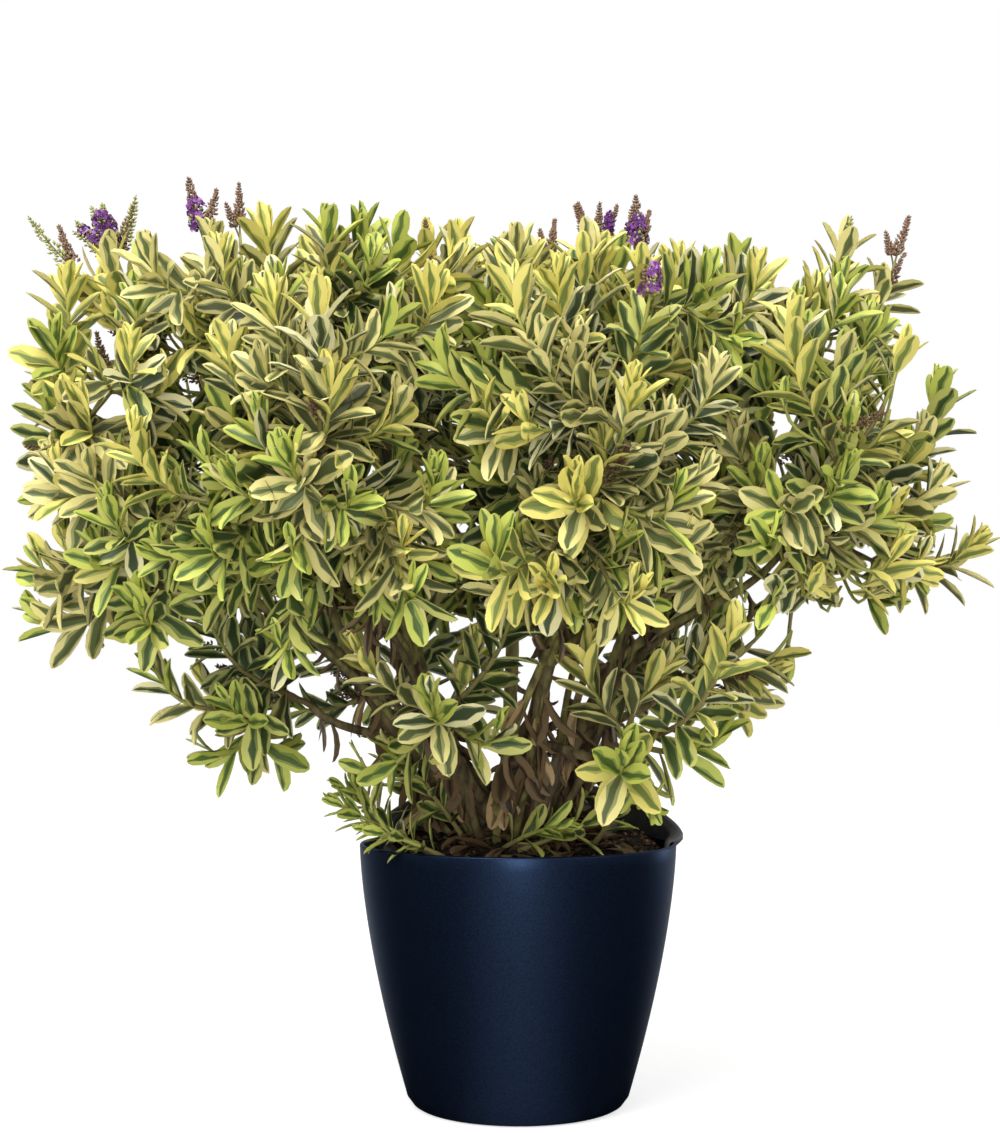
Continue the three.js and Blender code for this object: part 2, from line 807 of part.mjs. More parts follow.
// Opposite leaves in pairs, each pair square to the one before it and wider spread.
function growLeaves(twig, mass, twigs, leaves) {
  const chance = seeded(twig.shoot.seed);
  const firstTurn = chance() * Math.PI;
  const side = sideWay(twig.curve);
  const isFree = (leaf) => (
    leafFits(leaf, mass) && nearCrown(leaf.tip, twig.shoot) && leafStandsFree(leaf, twig, leaves, twigs));
  for (let pair = 0; pair < LEAF.pairs; pair += 1) {
    const back = LEAF.firstBack + pair * LEAF.step;
    const t = 1 - back / twig.length;
    if (t < LEAF.lowest) {
      return;
    }
    const root = axisPoint(twig, t);
    const way = twig.curve.getTangentAt(t);
    const across = side.clone().addScaledVector(way, -side.dot(way)).normalize();
    const frame = { way, across, over: way.clone().cross(across) };
    const age = Math.min(pair / 3, 1);
    for (const half of [0, Math.PI]) {
      const length = (LEAF.tipLength + (LEAF.length - LEAF.tipLength) * age) * (0.92 + 0.16 * chance());
      const angle = LEAF.tipSpread + (LEAF.spread - LEAF.tipSpread) * age + (chance() - 0.5) * 14 * DEG;
      const turn = firstTurn + (pair * Math.PI) / 2 + half;
      const leaf = placeLeaf(root, frame, turn, angle, length, isFree);
      if (leaf !== null) {
        leaves.push(leaf);
      }
    }
  }
}

// A flower or bud spike: a slim six-cornered body that stands up from the shoot's tip.
function growBlossom(twig, mass) {
  const { length, width } = BLOSSOM[twig.shoot.blossom];
  const root = axisPoint(twig, twig.topShare - BLOSSOM.sunk / twig.length);
  const along = twig.curve.getTangentAt(1);
  const side = sideWay(twig.curve);
  const across = side.addScaledVector(along, -side.dot(along)).normalize();
  const over = along.clone().cross(across);
  const solid = movedSolid(new THREE.OctahedronGeometry(1, 0), (x, y, z) => root.clone()
    .addScaledVector(along, length * Math.max(z, z === 0 ? BLOSSOM.widest : 0))
    .addScaledVector(across, (x * width) / 2)
    .addScaledVector(over, (y * width) / 2));
  const top = root.clone().addScaledVector(along, length);
  return roomAt(top, mass) > CLEAR.space && roomAt(root, mass) > width ? [solid] : [];
}

// The leader first, the one straightest ahead of the bough, then the others. A twig that doesn't fit is
// tried again with its tip drawn towards the middle of the mass.
function growTwigs(mass) {
  const from = mass.bough.curve.getPointAt(1);
  const straight = ({ tip }) => tip.clone().sub(from).normalize().dot(mass.bough.way);
  const leader = mass.shoots.reduce((best, one) => (straight(one) > straight(best) ? one : best));
  const twigs = [];
  for (const shoot of [leader, ...mass.shoots.filter((other) => other !== leader)]) {
    const tries = TWIG.drawnIn.map((share) => {
      const tip = shoot.tip.clone().lerp(mass.centre, share);
      return growTwig({ ...shoot, tip }, twigs, mass.bough);
    });
    const twig = tries.find((one) => twigFits(one, mass));
    if (twig !== undefined) {
      twigs.push(twig);
    }
  }
  return twigs;
}

function growMass(mass) {
  const twigs = growTwigs(mass);
  const leaves = [];
  for (const twig of twigs) {
    growLeaves(twig, mass, twigs, leaves);
  }
  const solids = leaves.map(leafSolid);
  for (const twig of twigs) {
    solids.push(limbSolid(twig.curve, twig.radiusAt, TWIG.sides, twig.rings, twig.topShare));
    if (twig.shoot.blossom) {
      solids.push(...growBlossom(twig, mass));
    }
  }
  return mainBody(wasm.Manifold.union(solids));
}

// ---------------------------------------------------------------- the whole plant

dealShoots();

const plant = new THREE.Group();
plant.add(namedMesh('pot', potBody(0), 'pot'), nurseryPotMesh(), soilMesh());
for (const limb of limbs) {
  plant.add(toMesh(limb.name, limb.solid, 'wood'));
}
for (const mass of masses) {
  plant.add(toMesh(`foliage_${mass.name}`, growMass(mass), 'foliage'));
}

export default plant;
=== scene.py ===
import math

import bpy
import numpy as np
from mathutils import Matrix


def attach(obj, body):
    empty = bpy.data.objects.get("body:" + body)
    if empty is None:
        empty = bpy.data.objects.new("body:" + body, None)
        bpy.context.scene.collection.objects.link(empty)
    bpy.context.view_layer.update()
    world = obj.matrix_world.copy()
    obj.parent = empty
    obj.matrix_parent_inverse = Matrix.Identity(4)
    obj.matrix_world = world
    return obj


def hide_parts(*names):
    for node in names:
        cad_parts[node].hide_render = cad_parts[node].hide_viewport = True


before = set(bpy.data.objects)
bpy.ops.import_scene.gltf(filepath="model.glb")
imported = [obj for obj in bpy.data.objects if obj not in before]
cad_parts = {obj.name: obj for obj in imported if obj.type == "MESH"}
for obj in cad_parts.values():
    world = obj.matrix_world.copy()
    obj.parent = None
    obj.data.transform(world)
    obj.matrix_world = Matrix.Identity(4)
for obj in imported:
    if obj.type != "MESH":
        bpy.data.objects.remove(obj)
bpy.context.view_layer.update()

# ---------------------------------------------------------------- cover pot
# A round tapering planter, moulded in one piece of plastic with a 4 mm wall and a rounded lip, and
# sprayed with a dark blue satin lacquer that has a fine metallic grain. It stands on its flat foot.

MM, FULL_TURN, CLEARANCE = 0.001, 2 * math.pi, 0.3
POT_HEIGHT, POT_WALL, POT_FLOOR, POT_BULGE = 254.0, 4.0, 5.0, 1.53
POT_FOOT_RADIUS, POT_BASE_RADIUS, POT_RIM_RADIUS = 97.0, 106.0, 156.5
UNDERSIDE_HOLLOW, FOOT_RING_WIDTH, FOOT_RING_REACH = 0.6, 4.0, 6.0
POT_HEEL, POT_INNER_HEEL = [(5.5, 0.9), (2.6, 2.6), (0.4, 5.6)], 3.0
POT_SIDE_FROM, POT_SIDE_RINGS, LIP_ANGLES = 10.0, 22, (30, 60, 90, 120, 150)
ROUND_SIDES = 144
BLOTCH_EDGES = (0.36, 0.64)


class Heap:
    """Gathers the points and faces of the many small shapes of one piece, in millimetres."""

    def __init__(self):
        self.points, self.faces, self.kinds = [], [], []
        self.count = 0

    def add(self, points, *face_sets, kind=0):
        """Each face set is an array of corner numbers, one row a face; kind picks the materials."""
        self.points.append(np.asarray(points, float))
        self.faces += [np.asarray(faces, np.int64) + self.count for faces in face_sets]
        self.kinds.append(np.broadcast_to(kind, sum(len(faces) for faces in face_sets)))
        self.count += len(points)


def make_piece(name, heap, materials, sharp_angle=None):
    """Turns a heap into one smooth mesh object that belongs to the plant's one body."""
    mesh = bpy.data.meshes.new(name)
    points = np.concatenate(heap.points) * MM
    sizes = np.concatenate([np.full(len(faces), faces.shape[1]) for faces in heap.faces])
    corners = np.concatenate([faces.ravel() for faces in heap.faces])
    mesh.vertices.add(len(points))
    mesh.vertices.foreach_set("co", points.astype(np.float32).ravel())
    mesh.loops.add(len(corners))
    mesh.loops.foreach_set("vertex_index", corners.astype(np.int32))
    mesh.polygons.add(len(sizes))
    starts = np.concatenate([[0], np.cumsum(sizes)[:-1]])
    mesh.polygons.foreach_set("loop_start", starts.astype(np.int32))
    mesh.polygons.foreach_set("material_index", np.concatenate(heap.kinds).astype(np.int32))
    mesh.polygons.foreach_set("use_smooth", np.ones(len(sizes), bool))
    mesh.update(calc_edges=True)
    mesh.validate()
    if sharp_angle is not None:
        mesh.set_sharp_from_angle(angle=math.radians(sharp_angle))
    for material in materials:
        mesh.materials.append(material)
    piece = bpy.data.objects.new(name, mesh)
    bpy.context.collection.objects.link(piece)
    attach(piece, "root")
    return piece


def ring_faces(rings, sides):
    """The faces between rings of points, and the fans that join both ends to the two last points."""
    ring, side = np.meshgrid(np.arange(rings - 1), np.arange(sides), indexing="ij")
    after = (side + 1) % sides
    quads = np.stack(
        [ring * sides + side, ring * sides + after, (ring + 1) * sides + after, (ring + 1) * sides + side],
        axis=-1,
    ).reshape(-1, 4)
    side = np.arange(sides)
    after = (side + 1) % sides
    last, end = (rings - 1) * sides, rings * sides
    first_fan = np.stack([np.full(sides, end), after, side], axis=1)
    last_fan = np.stack([np.full(sides, end + 1), last + side, last + after], axis=1)
    return quads, first_fan, last_fan


def turned(profile, sides=ROUND_SIDES):
    """A lathe about the upright axis from (radius, height) pairs that start and end on the axis."""
    rim = np.array(profile[1:-1], float)
    angle = np.linspace(0, FULL_TURN, sides, endpoint=False)
    rings = np.stack(
        [
            np.outer(rim[:, 0], np.cos(angle)),
            np.outer(rim[:, 0], np.sin(angle)),
            np.repeat(rim[:, 1:], sides, axis=1),
        ],
        axis=-1,
    ).reshape(-1, 3)
    points = np.vstack([rings, [[0, 0, profile[0][1]], [0, 0, profile[-1][1]]]])
    return points, *ring_faces(len(rim), sides)


def pot_radius(height):
    """The pot's outer radius: it widens fast above the foot and hardly at all near the rim."""
    rise = np.clip(height / POT_HEIGHT, 0, 1)
    return POT_BASE_RADIUS + (POT_RIM_RADIUS - POT_BASE_RADIUS) * (1 - (1 - rise) ** POT_BULGE)


def pot_profile():
    """Half the pot's section: hollow underside, foot ring, rounded heel, side, lip and the inside."""
    lip = POT_WALL / 2
    profile = [(0, UNDERSIDE_HOLLOW), (POT_FOOT_RADIUS - FOOT_RING_REACH, UNDERSIDE_HOLLOW)]
    profile += [(POT_FOOT_RADIUS - FOOT_RING_WIDTH, 0), (POT_FOOT_RADIUS, 0)]
    profile += [(POT_BASE_RADIUS - inward, height) for inward, height in POT_HEEL]
    heights = np.linspace(POT_SIDE_FROM, POT_HEIGHT - lip, POT_SIDE_RINGS)
    profile += [(pot_radius(height), height) for height in heights]
    middle = pot_radius(POT_HEIGHT) - lip
    for angle in np.radians(LIP_ANGLES):
        profile.append((middle + lip * math.cos(angle), POT_HEIGHT - lip + lip * math.sin(angle)))
    profile += [(pot_radius(height) - POT_WALL, height) for height in heights[::-1]]
    profile += [(POT_BASE_RADIUS - POT_WALL - POT_INNER_HEEL, POT_FLOOR), (0, POT_FLOOR)]
    return profile


def linear(red, green, blue):
    """A colour given in display values of 0 to 255, as the plain light values that shaders take."""
    shares = [value / 255 for value in (red, green, blue)]
    return [s / 12.92 if s <= 0.04045 else ((s + 0.055) / 1.055) ** 2.4 for s in shares] + [1.0]


def new_material(name, colour, roughness, metallic=0.0, specular=0.5):
    material = bpy.data.materials.new(name)
    material.use_nodes = True
    shader = material.node_tree.nodes["Principled BSDF"]
    shader.inputs["Base Color"].default_value = colour
    shader.inputs["Roughness"].default_value = roughness
    shader.inputs["Metallic"].default_value = metallic
    shader.inputs["Specular IOR Level"].default_value = specular
    return material


def mottle_group():
    """Two colours in soft blotches of a given size, with the blotches as a height as well."""
    group = bpy.data.node_groups.new("mottle", "ShaderNodeTree")
    sockets = [
        ("Scale", "NodeSocketFloat", 40.0),
        ("Detail", "NodeSocketFloat", 3.0),
        ("Stretch", "NodeSocketVector", (1.0, 1.0, 1.0)),
        ("Low", "NodeSocketColor", (0, 0, 0, 1)),
        ("High", "NodeSocketColor", (1, 1, 1, 1)),
    ]
    for label, kind, value in sockets:
        group.interface.new_socket(label, in_out="INPUT", socket_type=kind).default_value = value
    group.interface.new_socket("Color", in_out="OUTPUT", socket_type="NodeSocketColor")
    group.interface.new_socket("Height", in_out="OUTPUT", socket_type="NodeSocketFloat")
    nodes, links = group.nodes, group.links
    given = nodes.new("NodeGroupInput")
    place = nodes.new("ShaderNodeTexCoord")
    stretch = nodes.new("ShaderNodeVectorMath")
    stretch.operation = "MULTIPLY"
    noise = nodes.new("ShaderNodeTexNoise")
    contrast = nodes.new("ShaderNodeMapRange")
    contrast.inputs["From Min"].default_value, contrast.inputs["From Max"].default_value = BLOTCH_EDGES
    blend = nodes.new("ShaderNodeMix")
    blend.data_type = "RGBA"
    out = nodes.new("NodeGroupOutput")
    links.new(place.outputs["Object"], stretch.inputs[0])
    links.new(given.outputs["Stretch"], stretch.inputs[1])
    links.new(stretch.outputs[0], noise.inputs["Vector"])
    links.new(given.outputs["Scale"], noise.inputs["Scale"])
    links.new(given.outputs["Detail"], noise.inputs["Detail"])
    links.new(noise.outputs["Fac"], contrast.inputs["Value"])
    links.new(contrast.outputs["Result"], blend.inputs["Factor"])
    links.new(given.outputs["Low"], blend.inputs[6])
    links.new(given.outputs["High"], blend.inputs[7])
    links.new(blend.outputs[2], out.inputs["Color"])
    links.new(contrast.outputs["Result"], out.inputs["Height"])
    return group


MOTTLE = mottle_group()


def mottled(material, low, high, scale, detail=3.0, stretch=(1, 1, 1), bump=0.0, depth=0.001):
    """Gives a material blotches between two colours, and a bump of the same pattern."""
    nodes, links = material.node_tree.nodes, material.node_tree.links
    shader = nodes["Principled BSDF"]
    blotches = nodes.new("ShaderNodeGroup")
    blotches.node_tree = MOTTLE
    blotches.inputs["Scale"].default_value = scale
    blotches.inputs["Detail"].default_value = detail
    blotches.inputs["Stretch"].default_value = stretch
    blotches.inputs["Low"].default_value = low
    blotches.inputs["High"].default_value = high
    links.new(blotches.outputs["Color"], shader.inputs["Base Color"])
    if bump:
        relief = nodes.new("ShaderNodeBump")
        relief.inputs["Strength"].default_value = bump
        relief.inputs["Distance"].default_value = depth
        links.new(blotches.outputs["Height"], relief.inputs["Height"])
        links.new(relief.outputs["Normal"], shader.inputs["Normal"])
    return material


lacquer = new_material("navy_satin_lacquer", linear(28, 40, 62), 0.34, metallic=0.85, specular=0.12)
lacquer.node_tree.nodes["Principled BSDF"].inputs["Specular Tint"].default_value = linear(204, 212, 226)
mottled(lacquer, linear(26, 37, 57), linear(34, 48, 72), 900, detail=1.0, bump=0.06, depth=0.0004)

pot_heap = Heap()
pot_heap.add(*turned(pot_profile()))
pot = make_piece("cover_pot", pot_heap, [lacquer], sharp_angle=50)
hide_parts("pot")

# ---------------------------------------------------------------- nursery pot
# The thin black pot that the plant was grown in, blown from dull plastic, with a wide rolled rim. It
# stands crooked in the cover pot: its rim tips forward and hooks over the lip on the right.

NURSERY_BASE_RADIUS, NURSERY_RIM_RADIUS, NURSERY_WALL, RIM_REACH = 88.0, 143.0, 2.0, 11.0
NURSERY_FLOOR, NURSERY_OUTER_RINGS, NURSERY_INNER_RINGS = POT_FLOOR + CLEARANCE, 12, 10
RIM_FOOT, RIM_TOP, RIM_SLOPE, RIM_SHIFT = 256.0, 268.0, 0.25, (13.0, 14.0)
RIM_CROSSING, RIM_HOOK, RIM_INNER_RADIUS, RIM_WIDEST = (26.0, -2.0), 7.0, 138.0, 170.0
# The section of the rolled rim: how far in from its widest line and down from its top each point is.
RIM_ROLL = [(2, 12), (0, 10), (0, 4.5), (1.6, 1.4), (4.5, 0), (8.5, 0.2), (11.5, 2), (13, 6)]
SQUEEZED_ABOVE, SOIL_FLAT_RADIUS = 200.0, 44.0


def nursery_radius(height):
    rise = (height - NURSERY_FLOOR) / (RIM_FOOT - NURSERY_FLOOR)
    return NURSERY_BASE_RADIUS + (NURSERY_RIM_RADIUS - NURSERY_BASE_RADIUS) * rise


def leant(points):
    """Tips upright points the way the nursery pot leans; the floor and the middle stay as they are."""
    points = np.array(points, float)
    out = (np.hypot(points[:, 0], points[:, 1]) - SOIL_FLAT_RADIUS) / (NURSERY_RIM_RADIUS - SOIL_FLAT_RADIUS)
    rise = np.maximum((points[:, 2] - NURSERY_FLOOR) / (RIM_FOOT - NURSERY_FLOOR), 0)
    share = np.clip(out, 0, 1) * rise
    points[:, 2] += RIM_SLOPE * points[:, 1] * share
    points[:, 2] -= RIM_HOOK * np.clip(points[:, 0] / NURSERY_RIM_RADIUS, 0, 1) ** 2 * share
    points[:, 0] += RIM_SHIFT[0] * share
    points[:, 1] += RIM_SHIFT[1] * share
    return points


def kept_inside(points):
    """The front of the rim is squeezed into the cover pot. The back stands over its lip or against it."""
    radius = np.hypot(points[:, 0], points[:, 1])
    inner = pot_radius(points[:, 2]) - POT_WALL - CLEARANCE
    front = np.interp(points[:, 1], RIM_CROSSING[::-1], (1, 0))
    squeeze = (inner - RIM_INNER_RADIUS) / (RIM_WIDEST - RIM_INNER_RADIUS)
    squeezed = np.minimum(radius, RIM_INNER_RADIUS + (radius - RIM_INNER_RADIUS) * squeeze)
    in_rim = (radius > RIM_INNER_RADIUS) * (points[:, 2] > SQUEEZED_ABOVE)
    squeezed = radius + (squeezed - radius) * front * in_rim
    points[:, :2] *= (squeezed / np.maximum(radius, 1))[:, None]
    radius = squeezed
    pressed = (points[:, 2] < POT_HEIGHT + CLEARANCE) & (radius > inner) & (radius < inner + POT_WALL)
    shrink = np.where(pressed, inner / np.maximum(radius, 1), 1.0)
    points[:, :2] *= shrink[:, None]
    return points


def nursery_profile():
    """Half the nursery pot's section: floor, side, rolled rim and the inside."""
    inner_floor = NURSERY_FLOOR + NURSERY_WALL
    up = np.linspace(NURSERY_FLOOR, RIM_FOOT, NURSERY_OUTER_RINGS)
    down = np.linspace(RIM_FOOT, inner_floor, NURSERY_INNER_RINGS)
    outer = [(nursery_radius(height), height) for height in up]
    rim = [(NURSERY_RIM_RADIUS + RIM_REACH - inward, RIM_TOP - drop) for inward, drop in RIM_ROLL]
    inner = [(nursery_radius(height) - NURSERY_WALL, height) for height in down]
    return [(0, NURSERY_FLOOR), *outer, *rim, *inner, (0, inner_floor)]


black_plastic = new_material("black_nursery_plastic", linear(34, 34, 37), 0.5)
mottled(black_plastic, linear(30, 31, 33), linear(56, 56, 57), 60, detail=5.0, bump=0.15, depth=0.0008)

nursery_heap = Heap()
points, *faces = turned(nursery_profile())
nursery_heap.add(kept_inside(leant(points)), *faces)
nursery_pot = make_piece("nursery_pot_black", nursery_heap, [black_plastic], sharp_angle=60)
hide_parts("nursery_pot")

# ---------------------------------------------------------------- potting soil
# Damp bark and peat mix, crowned towards the stems and sloping with the nursery pot, with loose
# crumbs and chips of bark lying on it.

SOIL_EDGE_HEIGHT, SOIL_CROWN_HEIGHT, SOIL_SHOULDER_RADIUS = 245.0, 258.0, 112.0
SOIL_SHOULDER_RISE, SOIL_GAP, SOIL_RINGS, SOIL_SIDES, SOIL_ROUGHNESS = 3.0, 0.9, 46, 120, (-2.6, 2.2)
ROUGH_ABOVE, ROUGH_BEYOND, SOIL_INNERMOST = SOIL_EDGE_HEIGHT + 0.5, 8, 2
SOIL_CRUMBS, CRUMB_REACH, CRUMB_LIFT, CHIP_SHARE = 900, 0.97, 1.2, 0.35
CRUMB_SIZES, CRUMB_TILT, CRUMB_WEAR = (1.2, 3.6), 0.4, (0.75, 1.2)
CRUMB_SHAPES = [(0.8, 2.6), (0.8, 1.4), (0.5, 0.9)]


def soil_radius(height):
    """How far out the soil reaches at a height, just clear of the nursery pot's wall."""
    return nursery_radius(height) - NURSERY_WALL - SOIL_GAP


def soil_height(radius):
    shoulder = (SOIL_EDGE_HEIGHT + SOIL_CROWN_HEIGHT) / 2 + SOIL_SHOULDER_RISE
    stops = [0, SOIL_FLAT_RADIUS, SOIL_SHOULDER_RADIUS, soil_radius(SOIL_EDGE_HEIGHT)]
    return np.interp(radius, stops, [SOIL_CROWN_HEIGHT, SOIL_CROWN_HEIGHT, shoulder, SOIL_EDGE_HEIGHT])


def soil_shapes():
    heap = Heap()
    rng = np.random.default_rng(31)
    bottom, edge = NURSERY_FLOOR + NURSERY_WALL + CLEARANCE, soil_radius(SOIL_EDGE_HEIGHT)
    profile = [(0, bottom), (soil_radius(bottom), bottom)]
    profile += [(radius, soil_height(radius)) for radius in np.linspace(edge, SOIL_INNERMOST, SOIL_RINGS)]
    points, *faces = turned(profile + [(0, SOIL_CROWN_HEIGHT)], SOIL_SIDES)
    top = (points[:, 2] > ROUGH_ABOVE) & (np.hypot(points[:, 0], points[:, 1]) > ROUGH_BEYOND)
    points[top, 2] += rng.uniform(*SOIL_ROUGHNESS, top.sum())
    heap.add(leant(points), *faces)
    corners = np.array([[1, 0, 0], [-1, 0, 0], [0, 1, 0], [0, -1, 0], [0, 0, 1], [0, 0, -1]], float)
    sides = np.array([[0, 2, 4], [2, 1, 4], [1, 3, 4], [3, 0, 4], [2, 0, 5], [1, 2, 5], [3, 1, 5], [0, 3, 5]])
    for _ in range(SOIL_CRUMBS):
        radius, angle = edge * CRUMB_REACH * math.sqrt(rng.random()), rng.uniform(0, FULL_TURN)
        size = rng.uniform(*CRUMB_SIZES) * np.array([rng.uniform(*shares) for shares in CRUMB_SHAPES])
        turn = rng.uniform(0, FULL_TURN)
        cos, sin, tilt = math.cos(turn), math.sin(turn), rng.uniform(-CRUMB_TILT, CRUMB_TILT)
        across = np.array([[cos, sin, 0], [-sin, cos, tilt], [0, 0, 1]])
        shape = (corners * size * rng.uniform(*CRUMB_WEAR, (6, 1))) @ across
        place = [radius * math.cos(angle), radius * math.sin(angle), soil_height(radius) + CRUMB_LIFT]
        heap.add(shape + leant([place])[0], sides, kind=1 + (rng.random() < CHIP_SHARE))
    return heap


damp_soil = new_material("damp_soil", linear(34, 27, 20), 0.9, specular=0.25)
mottled(damp_soil, linear(16, 12, 9), linear(58, 46, 34), 140, detail=6.0, bump=0.9, depth=0.003)
soil_crumb = new_material("soil_crumb", linear(46, 36, 27), 0.9, specular=0.25)
mottled(soil_crumb, linear(24, 18, 13), linear(70, 55, 40), 220, detail=4.0)
bark_chip = new_material("bark_chip", linear(92, 68, 46), 0.85, specular=0.25)
mottled(bark_chip, linear(60, 44, 30), linear(122, 94, 64), 220, detail=4.0)

soil = make_piece("potting_soil", soil_shapes(), [damp_soil, soil_crumb, bark_chip])
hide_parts("soil")

# ---------------------------------------------------------------- rootstock, stems and boughs
# The woody part: a short flared rootstock, seven stems that bend up from it, and a bough to each mass
# of leaves. Grey-brown bark with ring-shaped scars where old leaf pairs fell, greener on young wood.

STOOL_X, STOOL_HEIGHT, STOOL_FOOT_RADIUS, STOOL_TOP_RADIUS, STOOL_LEAN = -15.0, 26.0, 28.0, 17.0, 4.0
STEM_COUNT, STEM_START_RADIUS, STEM_END_RADIUS, STEM_START_HEIGHT = 6, 8.6, 6.0, 12.0
STEM_START_RISE, STEM_END_RISE, STEM_FORK_REACH, STEM_FORK_HEIGHT = 36.0, 62.0, (130.0, 112.0), 430.0
CENTRE_STEM_RADII, CENTRE_STEM_FORK, CENTRE_STEM_FROM = (7.4, 6.0), (-4.0, -30.0, 520.0), 0.9
BOUGH_RADII, BOUGH_FORK, LOW_BOUGH_FORK, BOUGH_TURNS = (5.2, 3.8), 0.985, 0.52, (0.55, 0.35)
BOUGH_REACH = {"top_centre": 0.55, "top": 0.62, "middle": 0.72, "low": 0.62}
SIDE_STEM_JOINS, SIDE_STEM_FOOT, SIDE_STEM_FEET = {"top": 0.45, "middle": 0.6}, 33.0, (0.6, 1.25)
SIDE_STEM_RISE, SIDE_STEM_RADII, SIDE_STEM_SPREAD, SIDE_STEM_TILT = 58.0, (4.7, 3.0), 0.5, 9.0
SCAR_SPACING, SCAR_SWELL, RIDGE_SWELL, KNOB_SWELL = 17.0, 0.07, 0.045, 0.035
SCAR_SHARPNESS, RIDGE_TURNS, RIDGE_TWISTS, FINE_RIDGES, PHASES = 6, (3, 7), (0.02, 0.035), 0.6, (0, 6)
LIMB_STEP, FEWEST_LIMB_RINGS, BLUNT_TIP, ROOT_DEPTH = 4.0, 6, 0.5, 3
STOOL_SIDES, STEM_SIDES, BOUGH_SIDES, STOOL_RINGS, STOOL_BARK_RUN, STOOL_BARK_SHARE = 28, 14, 10, 14, 40, 0.5
CENTRE_STEM_PULLS, SIDE_STEM_PULLS = (0.3, 0.3), (0.4, 0.4)
CROWN_CENTRE = (-36.0, 0.0)
# The masses of leaves on top and round the middle: how many, reach across and back, height, first angle.
TIERS = [
    ("top_centre", 1, 0, 0, 765, 0),
    ("top", 6, 228, 196, 752, 0),
    ("middle", 9, 372, 312, 588, 5),
]
LOW_MASSES = [
    (205, -40, 445), (130, 175, 430), (-175, 170, 425), (-262, -45, 415), (-72, -165, 388), (132, -160, 345),
]


def unit(way):
    return way / np.linalg.norm(way)


class Bend:
    """A smooth curve that leaves its start along one way and reaches its end along another."""

    def __init__(self, start, start_way, end, end_way, start_pull=0.35, end_pull=0.35):
        start, end = np.array(start, float), np.array(end, float)
        chord = np.linalg.norm(end - start)
        first = start + np.asarray(start_way) * chord * start_pull
        second = end - np.asarray(end_way) * chord * end_pull
        self.corners = np.array([start, first, second, end])
        self.steps = np.linspace(0, 1, 41)
        line = self.blend(self.steps)
        runs = np.linalg.norm(np.diff(line, axis=0), axis=1)
        self.runs = np.concatenate([[0], np.cumsum(runs)])
        self.length = self.runs[-1]
        chord_way = unit(end - start)
        other = np.array([1.0, 0, 0]) if abs(chord_way[2]) > 0.8 else np.array([0, 0, 1.0])
        self.side = unit(np.cross(other, chord_way))

    def blend(self, u):
        u = np.atleast_1d(u)[:, None]
        a, b, c, d = self.corners
        return a * (1 - u) ** 3 + 3 * b * u * (1 - u) ** 2 + 3 * c * u**2 * (1 - u) + d * u**3

    def points(self, shares):
        """The points at shares of the curve's length."""
        return self.blend(np.interp(np.atleast_1d(shares) * self.length, self.runs, self.steps))

    def point(self, share):
        return self.points(share)[0]

    def way(self, share):
        return self.ways(share)[0]

    def ways(self, shares):
        """The ways in which the curve runs at shares of its length."""
        u = np.interp(np.atleast_1d(shares) * self.length, self.runs, self.steps)[:, None]
        a, b, c, d = self.corners
        way = (b - a) * (1 - u) ** 2 + 2 * (c - b) * u * (1 - u) + (d - c) * u**2
        return way / np.linalg.norm(way, axis=1, keepdims=True)

    def frames(self, shares):
        """The ways along the curve, and the two ways square to each of them and to each other."""
        way = self.ways(shares)
        across = self.side - way * (way @ self.side)[:, None]
        across /= np.linalg.norm(across, axis=1, keepdims=True)
        return way, across, np.cross(way, across)


def tube(curve, radii, sides, shares, relief=None):
    """A round limb along a curve with one radius to each share. Its ends close in blunt tips."""
    way, across, over = curve.frames(shares)
    angle = np.linspace(0, FULL_TURN, sides, endpoint=False)
    swell = np.ones((len(shares), sides)) if relief is None else relief
    swell = swell * np.asarray(radii)[:, None]
    centre = curve.points(shares)
    rings = (
        centre[:, None]
        + across[:, None] * (swell * np.cos(angle))[..., None]
        + over[:, None] * (swell * np.sin(angle))[..., None]
    ).reshape(-1, 3)
    ends = [centre[0] - way[0] * radii[0] * BLUNT_TIP, centre[-1] + way[-1] * radii[-1] * BLUNT_TIP]
    return np.vstack([rings, ends]), *ring_faces(len(shares), sides)


def outward(azimuth):
    """The level way at an angle round the plant."""
    return np.array([math.cos(azimuth), math.sin(azimuth), 0.0])


def rising(azimuth, rise):
    """The same way, raised by an angle."""
    return outward(azimuth) * math.cos(rise) + np.array([0, 0, math.sin(rise)])


def azimuth_from_centre(x, y):
    return math.atan2(y - CROWN_CENTRE[1], x - CROWN_CENTRE[0])


UP = np.array([0, 0, 1.0])
stool_foot = np.array([STOOL_X, 0, SOIL_CROWN_HEIGHT + CLEARANCE])
stool_curve = Bend(stool_foot, UP, stool_foot + [STOOL_LEAN, 0, STOOL_HEIGHT], UP)


def stool_radius(t):
    """The rootstock flares at its foot."""
    return STOOL_TOP_RADIUS + (STOOL_FOOT_RADIUS - STOOL_TOP_RADIUS) * (1 - t) ** 2


def grow_stems():
    """Six stems spread evenly round the rootstock and bend up to where their boughs part."""
    foot = stool_curve.point(STEM_START_HEIGHT / STOOL_HEIGHT)
    stems = []
    for i in range(STEM_COUNT):
        azimuth = FULL_TURN / STEM_COUNT * i
        fork = [
            CROWN_CENTRE[0] + STEM_FORK_REACH[0] * math.cos(azimuth),
            CROWN_CENTRE[1] + STEM_FORK_REACH[1] * math.sin(azimuth),
            STEM_FORK_HEIGHT,
        ]
        start = foot + outward(azimuth) * STOOL_TOP_RADIUS / 2
        rises = math.radians(STEM_START_RISE), math.radians(STEM_END_RISE)
        stems.append(Bend(start, rising(azimuth, rises[0]), fork, rising(azimuth, rises[1])))
    return stems


stems = grow_stems()
centre_stem = Bend(stool_curve.point(CENTRE_STEM_FROM), UP, CENTRE_STEM_FORK, UP, *CENTRE_STEM_PULLS)


